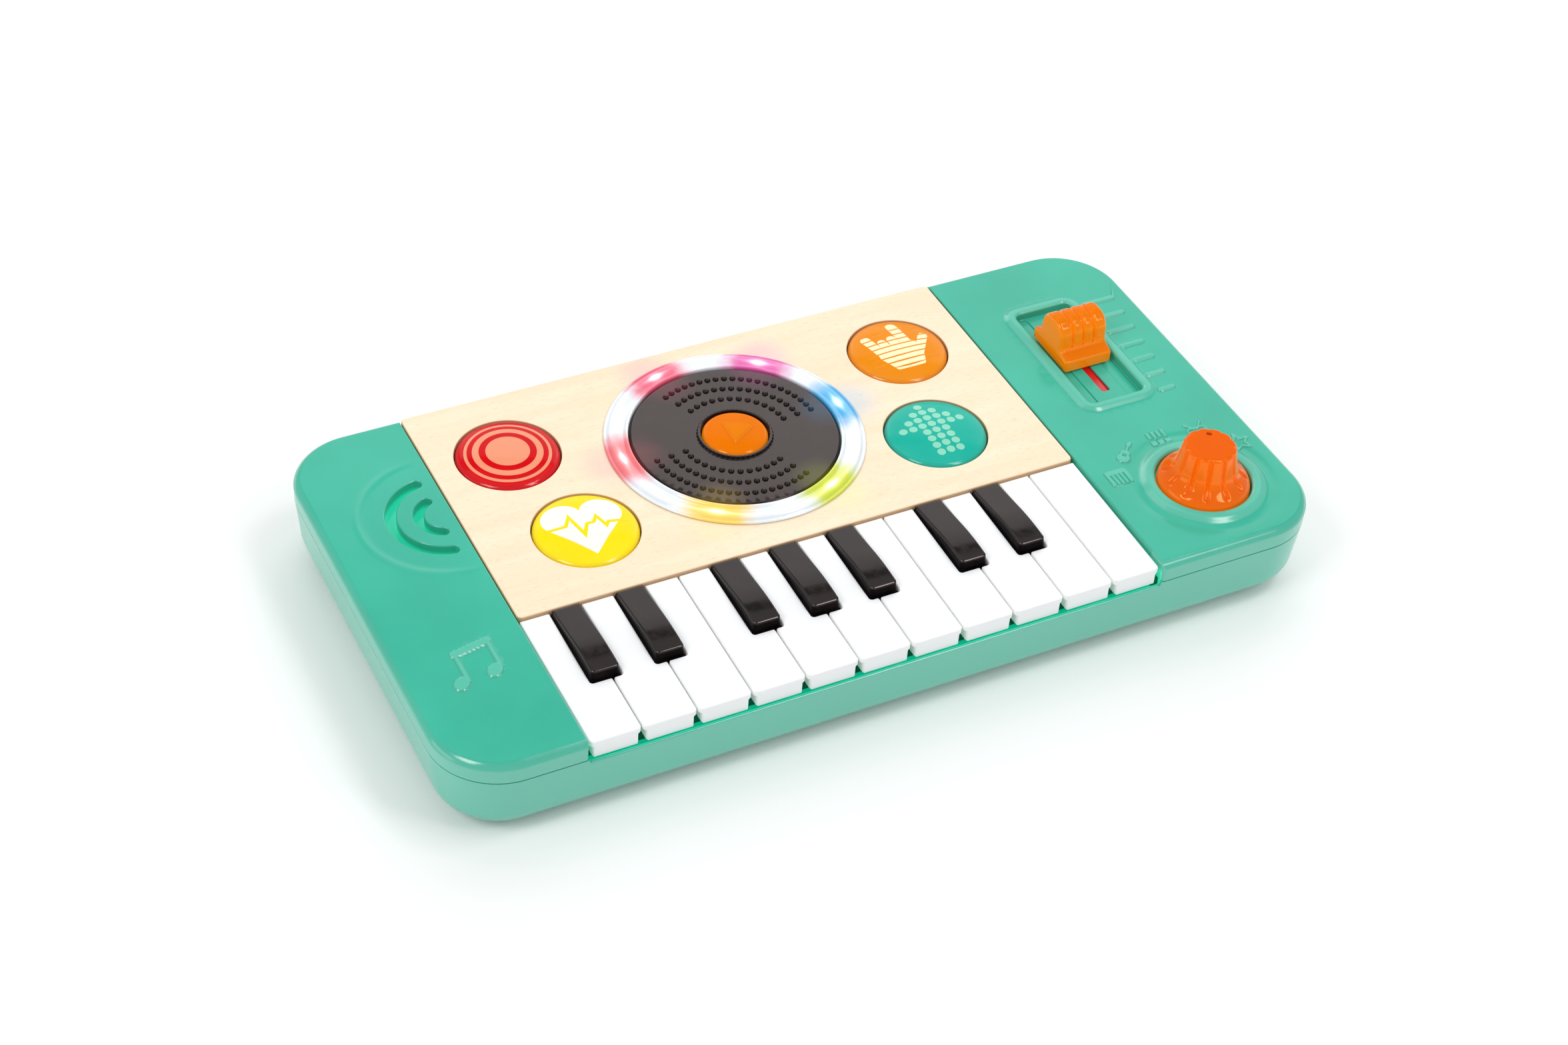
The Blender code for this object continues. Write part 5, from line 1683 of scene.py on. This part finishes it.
def screw(node):
    """A flat head with a cross and a plain shank; head and shank follow the size of the CAD screw."""
    low, high = span(node)
    x, y = middle(node)[:2]
    r = (high[0] - low[0]) / 2
    shank = 1.25 if r > 2 else 0.8
    head = low[2] + (2.0 if r > 2 else 0.6)
    profile = [(0, low[2]), (r * 0.6, low[2]), (r * 0.85, low[2] + 0.12), (r, low[2] + 0.4), (r, head),
               (shank, head), (shank, high[2] - 0.8), (0, high[2])]
    made = turned(node + "_body", x, y, profile, STEEL, count=48)
    cut(made, *cross_recess(x, y, low[2], r * 0.6))
    smooth(made)
    return place(made, "case", "steel", node)


def foot(node):
    """A rubber foot with a slightly hollow sole."""
    low, high = span(node)
    x, y = middle(node)[:2]
    r = (high[0] - low[0]) / 2
    profile = [(0, 0.25), (r * 0.6, 0.25), (r * 0.68, 0.05), (r * 0.75, 0.0), (r - 0.7, 0.0), (r - 0.3, 0.1),
               (r - 0.08, 0.35), (r, 0.7), (r, high[2]), (0, high[2])]
    made = turned(node + "_pad", x, y, profile, RUBBER, count=64)
    return place(made, "case", "rubber", node)


def battery_door():
    """The door with a rounded rim, finger ridges and the seat of its screw."""
    low, high = span("battery_door")
    x, y = middle("door_screw")[:2]
    outline = rounded_rect(low[0], high[0], low[1], high[1], 1.2, 6)
    levels = [(shifted(outline, 0.35), low[2]), (shifted(outline, 0.1), low[2] + 0.12),
              (outline, low[2] + 0.4), (outline, high[2])]
    door = solid(levels, "door_panel", GREEN)
    cut(door, solid([(circle(x, y, 2.6), low[2] - 0.5), (circle(x, y, 2.2), low[2] + 0.9)]))
    cut(door, prism(circle(x, y, 1.3, 24), low[2], high[2] + 1))
    half_length, half_width, pitch = 11, 0.45, 2.2
    for k in range(7):
        y = low[1] + 5.0 + pitch * k
        groove = rounded_rect(x - half_length, x + half_length, y - half_width, y + half_width, 0.44, 4)
        cut(door, solid([(shifted(groove, -0.2), low[2] - 0.3), (groove, low[2] + 0.4)]))
    smooth(door)
    level_faces(door)
    return place(door, "case", "green_plastic", "battery_door")


def power_switch():
    """Slider with three grip ridges, on the plate that guides it."""
    low, high = span("power_switch")
    plate = rounded_rect(low[0], high[0], low[1], high[1], 0.6, 4)
    nub = rounded_rect(SWITCH_NUB_X0, SWITCH_NUB_X1, SWITCH_Y - 2.0, SWITCH_Y + 2.0, 0.7, 6)
    plate_z = CASE_BOTTOM + WALL + GAP
    slider = prism(plate, plate_z, high[2], "switch_slider", BLACK)
    join(slider, solid([(shifted(nub, 0.25), low[2]), (nub, low[2] + 0.25), (nub, plate_z + 0.5)]))
    for k in range(3):
        x = SWITCH_NUB_X0 + 1.3 + 1.2 * k
        cut(slider, block(x - 0.25, x + 0.25, SWITCH_Y - 3, SWITCH_Y + 3, low[2] - 1, low[2] + 0.3))
    smooth(slider)
    return place(slider, "switch", "black_plastic", "power_switch")


# ---------------------------------------------------------------- CAD nodes that stay, with their finishes

def repaint(finish, *nodes):
    for node in nodes:
        kept = frame["nodes"][node]
        kept.data.materials.clear()
        kept.data.materials.append(finish)


def repaint_inner_parts():
    repaint(STEEL, "key_rod", "contact_front", "contact_back", "fader_track", "selector_shaft",
            "speaker_basket")
    repaint(GREEN, "key_frame")
    repaint(GREY, "record_base", "rotary_switch", "switch_body")
    repaint(RUBBER, "key_contacts", "pad_switches")
    repaint(BOARD, "panel_board", "main_board")
    repaint(CONE, "speaker_cone")
    repaint(CELL, "battery_1", "battery_2", "battery_3")


# ---------------------------------------------------------------- stage

TARGET = Vector((-0.0152, -0.0152, 0.0325))
AZIMUTH = math.radians(-29.26)
ELEVATION = math.radians(41.66)
ROLL = math.radians(4.51)
DISTANCE = 0.9033
SENSOR_WIDTH = 36.0
FOCAL_LENGTH = 64.13
SHIFT_X = -0.00087
SKY_STRENGTH = 0.47
FLOOR_R = 4000
FLOOR_Z = -0.05

# (name, azimuth and elevation in degrees, distance, width, height, radiance)
SOFTBOXES = (
    ("left", -75, 48, 1.5, 0.55, 0.55, 6.2),
    ("right", 36, 46, 1.6, 0.34, 0.62, 6.2),
    ("back", 151, 29.5, 1.6, 1.8, 0.8, 1.6),
    ("rear", 165, 64, 1.6, 1.4, 0.8, 1.0),
    ("top", 62, 65, 1.6, 0.52, 0.38, 7.2),
    ("side", -100, 14, 1.8, 1.2, 0.6, 1.3),
)


def toward(azimuth, elevation):
    """Unit vector from the object towards a viewer at that azimuth and elevation, in radians."""
    return Vector((math.sin(azimuth) * math.cos(elevation), -math.cos(azimuth) * math.cos(elevation),
                   math.sin(elevation)))


def camera():
    """The photograph's viewpoint, worked out from the straight edges and circles it shows."""
    data = bpy.data.cameras.new("camera")
    data.sensor_width = SENSOR_WIDTH
    data.lens = FOCAL_LENGTH
    data.shift_x = SHIFT_X
    eye = bpy.data.objects.new("camera", data)
    eye.location = TARGET + toward(AZIMUTH, ELEVATION) * DISTANCE
    aim = (TARGET - eye.location).to_track_quat("-Z", "Y").to_matrix().to_4x4()
    eye.matrix_world = Matrix.Translation(eye.location) @ aim @ Matrix.Rotation(ROLL, 4, "Z")
    bpy.context.scene.collection.objects.link(eye)
    bpy.context.scene.camera = eye


def softbox(name, azimuth, elevation, distance, width, height, radiance):
    """A rectangular light of even brightness, aimed at the keyboard."""
    data = bpy.data.lights.new(name, "AREA")
    data.shape = "RECTANGLE"
    data.size = width
    data.size_y = height
    data.energy = radiance * math.pi * width * height
    lamp = bpy.data.objects.new(name, data)
    direction = toward(math.radians(azimuth), math.radians(elevation))
    lamp.location = TARGET + direction * distance
    lamp.rotation_euler = (-direction).to_track_quat("-Z", "Y").to_euler()
    bpy.context.scene.collection.objects.link(lamp)


def floor():
    """A wide pale floor just under the feet."""
    shape = Shape()
    shape.face(shape.level(circle(0, 0, FLOOR_R, 64), FLOOR_Z))
    finish = Finish("floor", (0.89, 0.89, 0.89), 0.9, Specular_IOR_Level=0.0)
    plain = finish.noise(400.0, 2.0)
    finish.colour(finish.mix(plain, (0.88, 0.88, 0.88), (0.9, 0.9, 0.9)))
    finish.glow((1.0, 1.0, 1.0, 1.0), 0.06)
    shape.make("floor", finish.material)


def world():
    made = bpy.data.worlds.new("studio")
    made.use_nodes = True
    sky = made.node_tree.nodes["Background"]
    sky.inputs["Color"].default_value = (1.0, 1.0, 1.0, 1.0)
    sky.inputs["Strength"].default_value = SKY_STRENGTH
    bpy.context.scene.world = made


def studio():
    scene = bpy.context.scene
    scene.view_settings.view_transform = "Standard"
    scene.view_settings.look = "None"
    world()
    floor()
    for lamp in SOFTBOXES:
        softbox(*lamp)


# ---------------------------------------------------------------- build

camera()
studio()
upper_case()
lower_case()
wood_panel()
for name in WHITE_KEYS:
    white_key(name)
for name in BLACK_KEYS:
    black_key(name)
for pad_name, slot_name, finish_name, pad_base, ink_name, ink_base, pad_print in PADS:
    pad(pad_name, slot_name, pad_colour(finish_name, pad_base), print_colour(ink_name, ink_base), pad_print)
record()
light_ring()
play_button()
fader_cap()
fader_strip()
selector_knob()
for index in range(1, 5):
    screw("case_screw_%d" % index)
    foot("foot_%d" % index)
screw("door_screw")
battery_door()
power_switch()
repaint_inner_parts()
